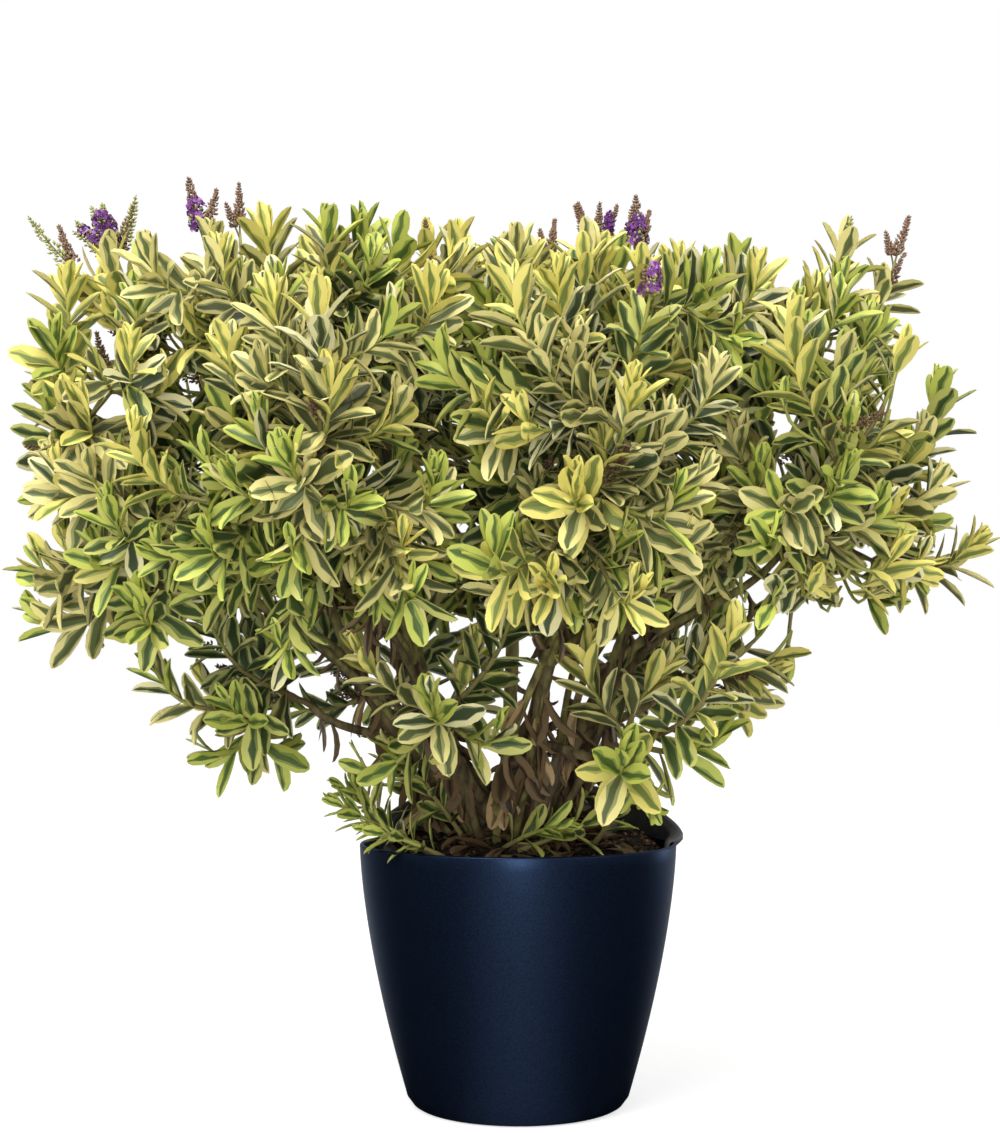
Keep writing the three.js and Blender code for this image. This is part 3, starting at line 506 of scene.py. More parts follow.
def mass_centres():
    """The middles of the 22 masses of leaves, with their names in the solids."""
    masses = []
    for tier, count, reach_x, reach_y, height, first in TIERS:
        for i in range(count):
            azimuth = math.radians(first + 360 / count * i)
            centre = [
                CROWN_CENTRE[0] + reach_x * math.cos(azimuth),
                CROWN_CENTRE[1] + reach_y * math.sin(azimuth),
                height,
            ]
            name = f"{tier}_{i + 1}" if count > 1 else tier
            masses.append({"tier": tier, "name": name, "centre": np.array(centre, float)})
    for i, place in enumerate(LOW_MASSES):
        masses.append({"tier": "low", "name": f"low_{i + 1}", "centre": np.array(place, float)})
    return masses


masses = mass_centres()


def grow_bough(mass):
    """A bough leaves the stem that points at its mass, and bends part of the way up towards it."""
    centre = mass["centre"]
    stem = centre_stem
    if mass["tier"] != "top_centre":
        azimuth = azimuth_from_centre(centre[0], centre[1])
        stem = stems[(math.floor(azimuth / (FULL_TURN / STEM_COUNT) + 0.5) + STEM_COUNT) % STEM_COUNT]
    at = LOW_BOUGH_FORK if mass["tier"] == "low" else BOUGH_FORK
    start = stem.point(at)
    way = unit(centre - start)
    tip = start + (centre - start) * BOUGH_REACH[mass["tier"]]
    leave = unit(stem.way(at) + (way - stem.way(at)) * BOUGH_TURNS[0])
    arrive = unit(way + (UP - way) * BOUGH_TURNS[1])
    return Bend(start, leave, tip, arrive)


for mass in masses:
    mass["bough"] = grow_bough(mass)


def grow_side_stems():
    """Thinner stems from beside the rootstock. Each runs up to one of the boughs and joins it."""
    rng = np.random.default_rng(8)
    side_stems = []
    for mass in masses:
        if mass["tier"] not in SIDE_STEM_JOINS:
            continue
        bough, join = mass["bough"], SIDE_STEM_JOINS[mass["tier"]]
        end = bough.point(join)
        azimuth = math.atan2(end[1], end[0] - STOOL_X) + rng.uniform(-SIDE_STEM_SPREAD, SIDE_STEM_SPREAD)
        foot = stool_foot + outward(azimuth) * SIDE_STEM_FOOT * rng.uniform(*SIDE_STEM_FEET)
        foot = foot - UP * ROOT_DEPTH
        rise = math.radians(SIDE_STEM_RISE + rng.uniform(-SIDE_STEM_TILT, SIDE_STEM_TILT))
        side_stems.append(Bend(foot, rising(azimuth, rise), end, bough.way(join), *SIDE_STEM_PULLS))
    return side_stems


side_stems = grow_side_stems()


def bark_relief(shares, length, sides, rng):
    """Rings of old leaf scars, long shallow ridges and small knobs, as a factor on the radius."""
    along = np.asarray(shares)[:, None] * length
    angle = np.linspace(0, FULL_TURN, sides, endpoint=False)[None]
    scars = np.maximum(np.cos(along * FULL_TURN / SCAR_SPACING + rng.uniform(*PHASES)), 0)
    ridges = np.sin(angle * RIDGE_TURNS[0] + rng.uniform(*PHASES) + along * RIDGE_TWISTS[0])
    ridges = ridges + FINE_RIDGES * np.sin(angle * RIDGE_TURNS[1] + along * RIDGE_TWISTS[1])
    knobs = rng.uniform(-KNOB_SWELL, KNOB_SWELL, (len(shares), sides))
    return 1 + SCAR_SWELL * scars**SCAR_SHARPNESS + RIDGE_SWELL * ridges + knobs


def add_limb(heap, curve, radius_at, sides, rng, kind=0):
    shares = np.linspace(0, 1, max(int(curve.length / LIMB_STEP), FEWEST_LIMB_RINGS))
    relief = bark_relief(shares, curve.length, sides, rng)
    points, *faces = tube(curve, radius_at(shares), sides, shares, relief)
    heap.add(points, *faces, kind=kind)


def taper(start, end):
    """A limb's radius at each share of its length."""
    return lambda t: start + (end - start) * np.asarray(t)


def wood_shapes():
    heap = Heap()
    rng = np.random.default_rng(5)
    shares = np.linspace(0, 1, STOOL_RINGS)
    relief = bark_relief(shares, STOOL_BARK_RUN, STOOL_SIDES, rng)
    relief = 1 + STOOL_BARK_SHARE * (relief - 1)
    points, *faces = tube(stool_curve, stool_radius(shares), STOOL_SIDES, shares, relief)
    points[:, 2] = np.maximum(points[:, 2], SOIL_CROWN_HEIGHT - ROOT_DEPTH)
    heap.add(points, *faces)
    for stem in stems:
        add_limb(heap, stem, taper(STEM_START_RADIUS, STEM_END_RADIUS), STEM_SIDES, rng)
    add_limb(heap, centre_stem, taper(*CENTRE_STEM_RADII), STEM_SIDES, rng, kind=1)
    for mass in masses:
        young = int(mass["tier"] != "low")
        add_limb(heap, mass["bough"], taper(*BOUGH_RADII), BOUGH_SIDES, rng, kind=young)
    for number, stem in enumerate(side_stems):
        add_limb(heap, stem, taper(*SIDE_STEM_RADII), BOUGH_SIDES, rng, kind=number % 2)
    return heap


old_bark = new_material("old_grey_brown_bark", linear(88, 76, 50), 0.85, specular=0.3)
mottled(old_bark, linear(58, 48, 31), linear(122, 108, 74), 55, 5.0, (1.6, 1.6, 0.5), bump=0.6, depth=0.0015)
young_bark = new_material("young_olive_bark", linear(116, 106, 62), 0.75, specular=0.35)
mottled(young_bark, linear(82, 74, 42), linear(142, 136, 78), 70, 4.0, (1.4, 1.4, 0.5), bump=0.4, depth=0.001)

wood = make_piece("rootstock_stems_and_boughs", wood_shapes(), [old_bark, young_bark])
limb_nodes = ["stool", "stem_centre"] + [f"stem_{i + 1}" for i in range(STEM_COUNT)]
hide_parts(*limb_nodes, *[f"bough_{mass['name']}" for mass in masses])

# ---------------------------------------------------------------- twigs
# Each shoot is a slim twig that forks from the twigs before it. The first shoots are the ones that the
# solids have, and the finer ones carry on by the same rule, each in the emptiest place left.

CROWN_HALF_WIDTH, CROWN_HALF_DEPTH, CROWN_SQUARENESS = 414.0, 360.0, 2.4
# Slow swellings round the crown: how many to a turn, where they start and how far they stand out.
CROWN_LOBES = [(3, 1.0, 0.035), (5, 2.0, 0.03)]
CROWN_FRONT_DROP, CROWN_DROP_FROM, CROWN_TILT = 45.0, 480.0, 0.05
# From the crown's top down its side: share of its full reach, height, how densely shoots stand there.
CROWN_PROFILE = [
    (0, 840, 1), (0.5, 843, 1), (0.82, 834, 1), (0.96, 800, 1), (1, 730, 1), (1.02, 620, 1),
    (1, 530, 1), (0.9, 470, 0.8), (0.7, 415, 0.6), (0.5, 370, 0.5), (0.36, 325, 0.5),
]
TIP_INSETS, FINE_TIP_INSETS, INSET_SINK = (0.0, 60.0), (10.0, 150.0), 0.6
MAIN_SHOOTS, ALL_SHOOTS, PLACES_TRIED = 69, 620, 16
CROWN_SEED, OWN_SEED, FILLER_SEED, BASAL_SEED = 1000, 9000, 9300, 9500
FINE_LOWEST, FINE_SINK, TIP_RIGHTING, OWN_RIGHTING = 490.0, 60.0, 0.66, 0.4
SIDE_TOP, SIDE_DEPTH, LEANS, LEAN_SCATTER, TURN_SCATTER = 820.0, 400.0, (4.0, 16.0, 46.0), 24.0, 50.0
# Shoots with places of their own: x, y and height of the tip, degrees of lean, what blooms on it.
OWN_SHOOTS = [
    (440, -70, 548, 62, ""), (-468, -50, 484, 70, ""), (-296, -90, 352, 66, ""), (122, -190, 314, 55, ""),
    (180, -168, 372, 42, ""), (92, -222, 352, 45, ""), (-78, -226, 404, 42, ""), (-22, -190, 372, 40, ""),
    (-268, -150, 398, 55, ""), (262, -70, 462, 45, ""), (18, -344, 690, 30, ""), (92, -338, 655, 38, ""),
    (-72, -346, 580, 46, ""), (126, -326, 568, 46, ""), (24, -318, 500, 58, ""), (44, -346, 575, 48, ""),
    (-88, -50, 846, 6, ""), (-14, 34, 850, 3, ""), (-402, -20, 838, 24, "cluster"),
    (-440, -30, 822, 40, "green"), (-318, 0, 862, 8, "flower"), (-285, 25, 872, 5, "bud"),
    (-168, 60, 846, 4, "pair"), (32, 60, 850, 2, "pair"), (84, 55, 856, 6, "group"),
    (122, 30, 852, 12, "flower"), (110, -285, 742, 30, "small"), (384, 10, 838, 22, "bud"),
    (326, -20, 852, 6, ""),
]
OWN_LEAF_SIZES = {3: 0.88, 4: 1.15, 5: 1.3, 6: 1.1, 7: 1.1}
# Thin drooping shoots that hang in front of the bare stems: x, y and height of the tip, degrees of lean.
LOW_FILLERS = [
    (66, -150, 446, 60), (140, -120, 436, 62), (-40, -140, 452, 55), (190, -100, 456, 60),
    (-150, -150, 446, 60), (250, -30, 430, 64),
]
# Low shoots from the soil: foot, tip, degrees of rise at each, how loosely the pairs sit, leaf size.
BASAL_SHOOTS = [
    ((-84, -84, 250), (-174, -88, 300), (36, 34), 1.0, 0.66),
    ((-98, -70, 248), (-158, -60, 322), (50, 75), 1.2, 0.66),
    ((-70, -98, 248), (-142, -116, 276), (25, 10), 1.0, 0.7),
    ((-104, -30, 250), (-176, -34, 312), (40, 30), 1.1, 0.7),
    ((0, -70, 252), (104, -96, 306), (20, 38), 1.5, 0.9),
    ((-14, -64, 254), (44, -104, 278), (30, 5), 1.5, 0.95),
    ((70, -40, 252), (118, -60, 330), (50, 60), 1.5, 0.8),
    ((-66, 24, 258), (-132, 16, 338), (50, 60), 1.3, 0.8),
    ((-52, -30, 258), (-124, -72, 352), (55, 45), 1.4, 0.85),
    ((30, 52, 262), (92, 70, 336), (50, 60), 1.4, 0.8),
]
TWIG_RADII, BASAL_RADII, TWIG_PULLS = (3.3, 1.5), (2.8, 1.3), (0.25, 0.55)
TWIG_SIDES, TWIG_STEP, TWIG_SCAR, TWIG_AGES = 5, 9.0, 0.13, (55, 130, 210)
FORKS, FORK_TURN, FORK_SLIMMING = (0.08, 0.24, 0.4, 0.56, 0.72), 0.6, 0.95
RUN_COST, TURN_COST, SHORT_COST, SHORTEST_TWIG = 0.4, 60.0, 500.0, 60.0
FILLER_LEAF_SIZE = 0.95


def seeded(seed):
    """The source's own generator of numbers from 0 to 1."""
    state = seed & 0xFFFFFFFF

    def draw():
        nonlocal state
        state = (state + 0x6D2B79F5) & 0xFFFFFFFF
        mixed = ((state ^ (state >> 15)) * (state | 1)) & 0xFFFFFFFF
        mixed ^= (mixed + (((mixed ^ (mixed >> 7)) * (mixed | 61)) & 0xFFFFFFFF)) & 0xFFFFFFFF
        return ((mixed ^ (mixed >> 14)) & 0xFFFFFFFF) / 4294967296

    return draw


def crown_radius(azimuth):
    """The crown's full reach from its middle: a squarish oval with a few swellings."""
    across = abs(math.cos(azimuth) / CROWN_HALF_WIDTH) ** CROWN_SQUARENESS
    along = abs(math.sin(azimuth) / CROWN_HALF_DEPTH) ** CROWN_SQUARENESS
    swell = 1 + sum(size * math.cos(turns * azimuth + phase) for turns, phase, size in CROWN_LOBES)
    return (across + along) ** (-1 / CROWN_SQUARENESS) * swell


PROFILE_AREAS = [
    math.hypot((share - last[0]) * CROWN_HALF_WIDTH, height - last[1]) * (share + last[0]) * density
    for last, (share, height, density) in zip(CROWN_PROFILE, CROWN_PROFILE[1:])
]


def profile_at(v):
    """A point of the crown's profile, with as much of the crown's surface above it as v says."""
    left, i = v * sum(PROFILE_AREAS), 0
    while i < len(PROFILE_AREAS) - 1 and left > PROFILE_AREAS[i]:
        left -= PROFILE_AREAS[i]
        i += 1
    t = left / PROFILE_AREAS[i]
    before, after = CROWN_PROFILE[i], CROWN_PROFILE[i + 1]
    return before[0] + (after[0] - before[0]) * t, before[1] + (after[1] - before[1]) * t


def righted(way, share):
    """The soft tip of a shoot turns up more than the wood below it."""
    return unit(way + (UP - way) * share)


def crown_place(draw, insets):
    """A place for a shoot's tip, at or under the crown's surface, and the way in which it points."""
    azimuth = draw() * FULL_TURN
    share, height = profile_at(draw())
    inset = insets[0] + (insets[1] - insets[0]) * draw() ** 2
    radius = max(crown_radius(azimuth) * share - inset * share, 0)
    tip = outward(azimuth) * radius + np.array([*CROWN_CENTRE, height])
    front = max(-tip[1] / CROWN_HALF_DEPTH, 0)
    high = max((height - CROWN_DROP_FROM) / (CROWN_PROFILE[0][1] - CROWN_DROP_FROM), 0)
    tip[2] -= (CROWN_FRONT_DROP * front + CROWN_TILT * tip[0]) * high + inset * (1 - share) * INSET_SINK
    side = min(max((SIDE_TOP - height) / SIDE_DEPTH, 0), 1)
    least, outer, low = LEANS
    lean = math.radians(least + outer * share**2 + low * side + (draw() - 0.5) * LEAN_SCATTER)
    turn = azimuth + math.radians((draw() - 0.5) * TURN_SCATTER)
    way = righted(rising(turn, math.pi / 2 - lean), TIP_RIGHTING)
    return {"tip": tip, "way": way, "blossom": "", "inset": inset}


def placed_shoot(x, y, height, lean, seed, leaf_size, blossom=""):
    """A shoot with a place of its own."""
    way = righted(rising(azimuth_from_centre(x, y), math.radians(90 - lean)), OWN_RIGHTING)
    tip = np.array([x, y, height], float)
    return {"tip": tip, "way": way, "blossom": blossom, "inset": 0.0, "seed": seed, "leaf": leaf_size}


def all_shoots():
    """The shoots with places of their own, then the crown's main and fine shoots, then the low fillers."""
    draw = seeded(CROWN_SEED)
    shoots = [
        placed_shoot(*place, OWN_SEED + i, OWN_LEAF_SIZES.get(i, 1.0), blossom)
        for i, (*place, blossom) in enumerate(OWN_SHOOTS)
    ]
    tips = np.array([shoot["tip"] for shoot in shoots])
    for i in range(ALL_SHOOTS):
        insets = TIP_INSETS if i < MAIN_SHOOTS else FINE_TIP_INSETS
        places = [crown_place(draw, insets) for _ in range(PLACES_TRIED)]
        if i >= MAIN_SHOOTS:
            for place in places:
                place["tip"] = place["tip"] - UP * FINE_SINK * draw()
            places = [place for place in places if place["tip"][2] > FINE_LOWEST]
        spots = np.array([place["tip"] for place in places])
        room = np.linalg.norm(spots[:, None] - tips[None], axis=2).min(axis=1)
        best = places[int(np.argmax(room))]
        shoots.append({**best, "seed": CROWN_SEED + i})
        tips = np.vstack([tips, best["tip"]])
    fillers = [placed_shoot(*place, FILLER_SEED + i, FILLER_LEAF_SIZE) for i, place in enumerate(LOW_FILLERS)]
    return shoots + fillers


def basal_twig(number):
    """A low shoot that comes up from the soil beside the rootstock."""
    foot, tip, rises, loose, leaf = BASAL_SHOOTS[number]
    foot, tip = np.array(foot), np.array(tip)
    azimuth = math.atan2(tip[1] - foot[1], tip[0] - foot[0])
    ways = [rising(azimuth, math.radians(rise)) for rise in rises]
    shoot = {"tip": tip, "way": ways[1], "blossom": "", "inset": 0.0, "seed": BASAL_SEED + number}
    shoot.update(loose=loose, leaf=leaf, green=True)
    return {"shoot": shoot, "curve": Bend(foot, ways[0], tip, ways[1]), "run": 0.0, "radii": BASAL_RADII}


def grow_twig(shoot, twigs, bough):
    """The leader goes on from its bough. The others fork where the whole way to their tip is shortest."""
    if not twigs:
        start, from_way = bough.point(1), bough.way(1)
        curve = Bend(start, from_way, shoot["tip"], shoot["way"], *TWIG_PULLS)
        return {"shoot": shoot, "curve": curve, "run": 0.0, "radii": TWIG_RADII}
    starts = np.concatenate([twig["forks"] for twig in twigs])
    tangents = np.concatenate([twig["fork_ways"] for twig in twigs])
    runs = np.concatenate([twig["run"] + twig["curve"].length * np.array(FORKS) for twig in twigs])
    radii = np.concatenate([np.interp(FORKS, (0, 1), twig["radii"]) for twig in twigs])
    way = shoot["tip"] - starts
    length = np.linalg.norm(way, axis=1)
    turn = (tangents * way).sum(axis=1) / length
    cost = length + RUN_COST * runs + TURN_COST * (1 - turn) + SHORT_COST * (length < SHORTEST_TWIG)
    best = int(np.argmin(cost))
    leave = unit(tangents[best] + (way[best] / length[best] - tangents[best]) * FORK_TURN)
    curve = Bend(starts[best], leave, shoot["tip"], shoot["way"], *TWIG_PULLS)
    ends = (radii[best] * FORK_SLIMMING, TWIG_RADII[1])
    return {"shoot": shoot, "curve": curve, "run": runs[best], "radii": ends}


def grow_twigs(mass):
    """All the twigs of one mass, from the leader that carries on its bough to the last small fork."""
    bough, shoots = mass["bough"], mass["shoots"]
    from_tip = bough.point(1)
    ahead = [unit(shoot["tip"] - from_tip) @ bough.way(1) for shoot in shoots[:mass["main"]]]
    leader = shoots[int(np.argmax(ahead))]
    twigs = []
    for shoot in [leader] + [other for other in shoots if other is not leader]:
        twig = grow_twig(shoot, twigs, bough)
        twig["forks"] = twig["curve"].points(FORKS)
        twig["fork_ways"] = twig["curve"].ways(FORKS)
        twigs.append(twig)
    return twigs


centres = np.array([mass["centre"] for mass in masses])
for mass in masses:
    mass["shoots"], mass["main"] = [], 0
for number, shoot in enumerate(all_shoots()):
    owner = masses[int(np.argmin(np.linalg.norm(centres - shoot["tip"], axis=1)))]
    owner["shoots"].append(shoot)
    owner["main"] += number < len(OWN_SHOOTS) + MAIN_SHOOTS
for mass in masses:
    mass["twigs"] = grow_twigs(mass)
basal_twigs = [basal_twig(number) for number in range(len(BASAL_SHOOTS))]


def twig_shapes():
    heap = Heap()
    for twig in basal_twigs + [twig for mass in masses for twig in mass["twigs"]]:
        curve = twig["curve"]
        rings = max(int(curve.length / TWIG_STEP), 4)
        shares = np.linspace(0, 1, rings + 1)
        scars = 1 + TWIG_SCAR * (np.arange(rings + 1) % 2)
        radii = np.interp(shares, (0, 1), twig["radii"]) * scars
        points, *faces = tube(curve, radii, TWIG_SIDES, shares)
        from_tip = (1 - (shares[:-1] + shares[1:]) / 2) * curve.length
        kinds = np.repeat(np.digitize(from_tip, TWIG_AGES), TWIG_SIDES)
        ends = np.repeat(kinds[[0, -1]], TWIG_SIDES)
        heap.add(points, *faces, kind=np.concatenate([kinds, ends]))
    return heap


twig_colours = [
    ("twig_green_tip", linear(150, 152, 76)),
    ("twig_half_ripe", linear(132, 124, 74)),
    ("twig_brown", linear(104, 88, 58)),
    ("twig_old", linear(78, 64, 44)),
]
twigs = make_piece("twigs", twig_shapes(), [new_material(n, c, 0.65, specular=0.35) for n, c in twig_colours])

# ---------------------------------------------------------------- leaves
# Leathery leaves in opposite pairs, each pair square to the last: a jagged dark flame down the middle,
# a grey-green band on both sides of it and a broad pale edge. They stand up at the tip and spread below.

LEAF_ROWS = np.array([0.0, 0.15, 0.37, 0.6, 0.81, 0.95])
LEAF_WIDTHS = np.array([0.16, 0.5, 0.87, 1.0, 0.84, 0.44])
LEAF_LINES = 7
LEAF_POINTS = len(LEAF_ROWS) * LEAF_LINES + 1
LEAF_LENGTH, LEAF_WIDTH, LENGTH_SHARES, WIDTH_SHARES = 51.0, 0.375, (0.9, 1.1), (0.88, 1.12)
PAIRS, FEWEST_PAIRS, PAIRS_LOST_LOW, PAIRS_LOST_TO_BLOSSOM = 18, 14, 5, 4
PAIR_BACKS = np.cumsum(np.interp(np.arange(PAIRS), [0, 1, 3, 6], [4, 7.5, 9.5, 11.5]))
PAIR_LENGTHS = np.interp(np.arange(PAIRS), [0, 1, 2, 3, 4, 9, 17], [0.5, 0.7, 0.85, 0.94, 1, 1.02, 0.88])
PAIR_SPREADS = np.interp(np.arange(PAIRS), [0, 1, 2, 4, 7, 10, 17], [9, 22, 34, 45, 51, 56, 68])
VIGOUR, LEAFY_SHARE, LOOSE_BELOW, LOOSE_DEPTH, LOOSER = (0.86, 1.08), 0.9, 520.0, 150.0, 0.7
PAIR_TWIST, SPREAD_SHARES, SPREAD_SCATTER, FULL_AGE = 0.12, (0.88, 1.08), 6, 8
AGED_DROOP, AGED_FACE_UP, LEAST_CUP, MOST_CUP = 0.06, 0.35, 0.05, 0.7
# A young leaf's bend in degrees and its cup, what age adds to them, and their scatter.
LEAF_BEND, LEAF_CUP = (-6, 32, 8), (0.5, -0.32, 0.08)
LEAVES_IN_PIECE = 3000
LEAST_BEND, CUP_INNER, CUP_OUTER = 1e-3, 0.7, 0.3
MARGIN, BAND, MIDDLE = 0, 1, 2
# Display colours of each kind of leaf: its edge, its band and its middle.
LEAF_COLOURS = [
    ("young_yellow", (226, 214, 118), (180, 180, 92), (118, 130, 66)),
    ("cream", (222, 211, 140), (156, 158, 100), (92, 102, 60)),
    ("white_edged", (226, 219, 168), (128, 136, 92), (58, 71, 45)),
    ("young_lime", (184, 190, 88), (134, 150, 68), (78, 100, 44)),
    ("green_gold", (188, 188, 102), (114, 128, 64), (60, 78, 37)),
    ("deep_green", (176, 178, 112), (94, 110, 58), (48, 64, 33)),
    ("olive", (208, 198, 126), (138, 140, 86), (80, 87, 50)),
    ("dead", (114, 93, 64), (85, 68, 46), (53, 42, 30)),
    ("straw", (182, 154, 108), (146, 120, 82), (104, 84, 56)),
]
YOUNG_YELLOW, CREAM, WHITE_EDGED, YOUNG_LIME, GREEN_GOLD, DEEP_GREEN, OLIVE, DEAD, STRAW = range(9)
YOUNG_PAIRS, RIPE_PAIRS, STRAY_SHARE = 4, 9, 0.12
LEAF_PATTERNS, BROAD_MIDDLE_FROM = 12, 5
FLAME, FLAME_YOUNG, FLAME_RIPE = np.array([1.5, 1.35, 1.1, 0.85, 0.6, 0.35]), 0.9, 0.5
MIDDLE_SHARES, RIPE_BROADER, BAND_SHARES = ([0.04, 0.24], [0.2, 0.54]), 0.17, (0.12, 0.28)
JAGS, MIDDLE_LIMITS, LEAST_BAND, BAND_LIMIT, STRIPED_TIPS = (0.24, 0.28), (0.05, 0.78), 0.07, 0.92, 0.7
# Patches of fresh green: middle x and half width, middle height and half height.
LIME_PATCHES = [(-255, 95, 500, 120), (275, 95, 690, 85)]
LIME_ANYWHERE, LIME_IN_PATCH, LIME_LOW, LIME_FRONT = 0.1, 0.85, 0.2, 60
SHADE_FROM, SHADE_DEPTH, LOW_FROM, LOW_DEPTH, SKIRT_TOP, OLIVE_BELOW = 45, 100, 520, 120, 415, 700
# Small gaps through the crown, seen from one point in front: ellipses in the plane of the pot's axis,
# each by its middle x and height, half width and half height.
OPENING_SHARES = (0.2, 0.45, 0.7, 0.95)
OPENINGS_FROM = np.array([-20.0, -1800.0, 415.0])
OPENINGS = [
    (296, 471, 28, 21), (264, 461, 20, 17), (336, 483, 15, 18), (236, 500, 18, 16), (330, 514, 18, 13),
    (255, 530, 14, 14), (-412, 688, 22, 16), (-328, 712, 11, 22), (-414, 750, 14, 24), (388, 703, 15, 22),
    (376, 689, 16, 14), (272, 672, 18, 16), (-331, 852, 12, 8), (268, 816, 11, 10), (-476, 563, 11, 13),
    (-345, 755, 11, 16), (314, 755, 12, 18), (264, 626, 14, 13), (350, 540, 16, 12), (-330, 628, 9, 9),
]


def leaf_patterns():
    """Where the colour bands lie across a leaf, row by row, and which colour each face has.

    The green is a jagged flame, broad at the stalk and thin at the tip. The first half of the patterns
    are for young leaves. The others have a broader dark middle.
    """
    rng = np.random.default_rng(77)
    lines, zones = [], []
    for number in range(2 * LEAF_PATTERNS):
        ripe = number >= LEAF_PATTERNS
        middles = rng.uniform(*MIDDLE_SHARES) + RIPE_BROADER * ripe
        bands = middles + rng.uniform(*BAND_SHARES, 2)
        flame = 1 + (FLAME - 1) * (FLAME_RIPE if ripe else FLAME_YOUNG)
        sign = np.where(rng.random(2) < 0.5, 1, -1)
        rows, faces = [], []
        for row in range(len(LEAF_ROWS)):
            sign = -sign
            inner = middles * flame[row] + sign * rng.uniform(0.0, JAGS[0], 2)
            inner = np.clip(inner, *MIDDLE_LIMITS)
            outer = bands * flame[row] + sign * rng.uniform(0.0, JAGS[1], 2)
            outer = np.clip(outer, inner + LEAST_BAND, BAND_LIMIT)
            rows.append([-1, -outer[1], -inner[1], 0, inner[0], outer[0], 1])
            faces.append([MARGIN, BAND, MIDDLE, MIDDLE, BAND, MARGIN])
        faces[-1][1:5] = [MARGIN, BAND, BAND, MARGIN] if rng.random() < STRIPED_TIPS else [MARGIN] * 4
        flip = 1 - 2 * (number % 2)
        lines.append(flip * np.array(rows)[:, ::flip])
        zones.append(np.array(faces)[:, ::flip])
    return np.array(lines), np.array(zones)


PATTERN_LINES, PATTERN_ZONES = leaf_patterns()


class Leaves:
    """The places, ways and shapes of many leaves, kept as lists of arrays until they are made."""

    def __init__(self):
        self.rows = []

    def add(self, root, along, face, length, width, bend, cup, pattern, colour):
        """Leaves from their roots along a way, upper side to face; what is one number holds for all."""
        count = len(root)
        columns = [length, width, bend, cup, pattern, colour]
        spread = [np.broadcast_to(np.asarray(c, float), count)[:, None] for c in columns]
        self.rows.append(np.hstack([root, along, face, *spread]))

    def shapes(self):
        """All leaves as one heap: each is a grid of rows and lines, closed by a tip."""
        table = np.concatenate(self.rows)
        root, along, face = table[:, 0:3], table[:, 3:6], table[:, 6:9]
        length, width, bend, cup = table[:, 9:13].T
        pattern, colour = table[:, 13].astype(int), table[:, 14].astype(int)
        across = np.cross(along, face)
        bend = np.where(np.abs(bend) < LEAST_BEND, LEAST_BEND, bend)
        rows = np.append(LEAF_ROWS, 1.0)
        turn = bend[:, None] * rows
        run = np.sin(turn) / bend[:, None] * length[:, None]
        drop = (1 - np.cos(turn)) / bend[:, None] * length[:, None]
        spine = root[:, None] + along[:, None] * run[..., None] - face[:, None] * drop[..., None]
        upper = face[:, None] * np.cos(turn)[..., None] + along[:, None] * np.sin(turn)[..., None]
        half = (length * width / 2)[:, None, None] * LEAF_WIDTHS[:, None]
        out = PATTERN_LINES[pattern] * half
        lift = np.abs(out) * (CUP_INNER + CUP_OUTER * np.abs(PATTERN_LINES[pattern]))
        lift = lift * cup[:, None, None]
        grid = (
            spine[:, :-1, None]
            + across[:, None, None] * out[..., None]
            + upper[:, :-1, None] * lift[..., None]
        )
        count = len(table)
        points = np.concatenate([grid.reshape(count, -1, 3), spine[:, -1:]], axis=1)
        row, line = np.meshgrid(np.arange(len(LEAF_ROWS) - 1), np.arange(LEAF_LINES - 1), indexing="ij")
        corner = row * LEAF_LINES + line
        quads = np.stack([corner, corner + 1, corner + LEAF_LINES + 1, corner + LEAF_LINES], axis=-1)
        quads = quads.reshape(-1, 4)
        last = LEAF_POINTS - 1 - LEAF_LINES + np.arange(LEAF_LINES - 1)
        tips = np.stack([last, last + 1, np.full(LEAF_LINES - 1, LEAF_POINTS - 1)], axis=1)
        offsets = (np.arange(count) * LEAF_POINTS)[:, None, None]
        zones = PATTERN_ZONES[pattern]
        quad_kinds = (colour[:, None] * 3 + zones[:, :-1].reshape(count, -1)).ravel()
        tip_kinds = (colour[:, None] * 3 + zones[:, -1]).ravel()
        heap = Heap()
        heap.points.append(points.reshape(-1, 3))
        heap.faces += [(quads + offsets).reshape(-1, 4), (tips + offsets).reshape(-1, 3)]
        heap.kinds += [quad_kinds, tip_kinds]
        heap.count = count * LEAF_POINTS
        return heap


def colours_for(shoot, rng):
    """The young, ripe and old leaf colours of a shoot, by where it stands in the crown."""
    x, y, z = shoot["tip"]
    if shoot.get("green"):
        return YOUNG_LIME, GREEN_GOLD, DEEP_GREEN
    patches = [
        math.exp(-(((x - middle) / half_width) ** 2) - ((z - height) / half_height) ** 2)
        for middle, half_width, height, half_height in LIME_PATCHES
    ]
    # Painted shade: the deeper a shoot sits inside the crown, the likelier all its leaves are the dark green
    # kind, which stands in for the shade in there.
    shade = max(shoot["inset"] - SHADE_FROM, 0) / SHADE_DEPTH
    low = min(max((LOW_FROM - z) / LOW_DEPTH, 0), 1)
    lime = LIME_ANYWHERE + LIME_IN_PATCH * max(patches) * (y < LIME_FRONT) + LIME_LOW * low
    if rng.random() < shade:
        return YOUNG_LIME, DEEP_GREEN, DEEP_GREEN
    if rng.random() < lime:
        return YOUNG_LIME, GREEN_GOLD, rng.choice([GREEN_GOLD, DEEP_GREEN, WHITE_EDGED])
    # Low in the skirt the leaves take the pale cream and yellow kinds: partly their own cream edges, partly
    # painted light that makes the shaded skirt as bright as front light would.
    if z < SKIRT_TOP:
        return YOUNG_LIME, rng.choice([CREAM, YOUNG_YELLOW]), rng.choice([CREAM, WHITE_EDGED])
    young = rng.choice([YOUNG_YELLOW, YOUNG_YELLOW, CREAM, YOUNG_LIME])
    ripe = rng.choice([CREAM, OLIVE if z < OLIVE_BELOW else CREAM, OLIVE, YOUNG_YELLOW, WHITE_EDGED])
    return young, ripe, rng.choice([WHITE_EDGED, OLIVE, OLIVE, GREEN_GOLD])


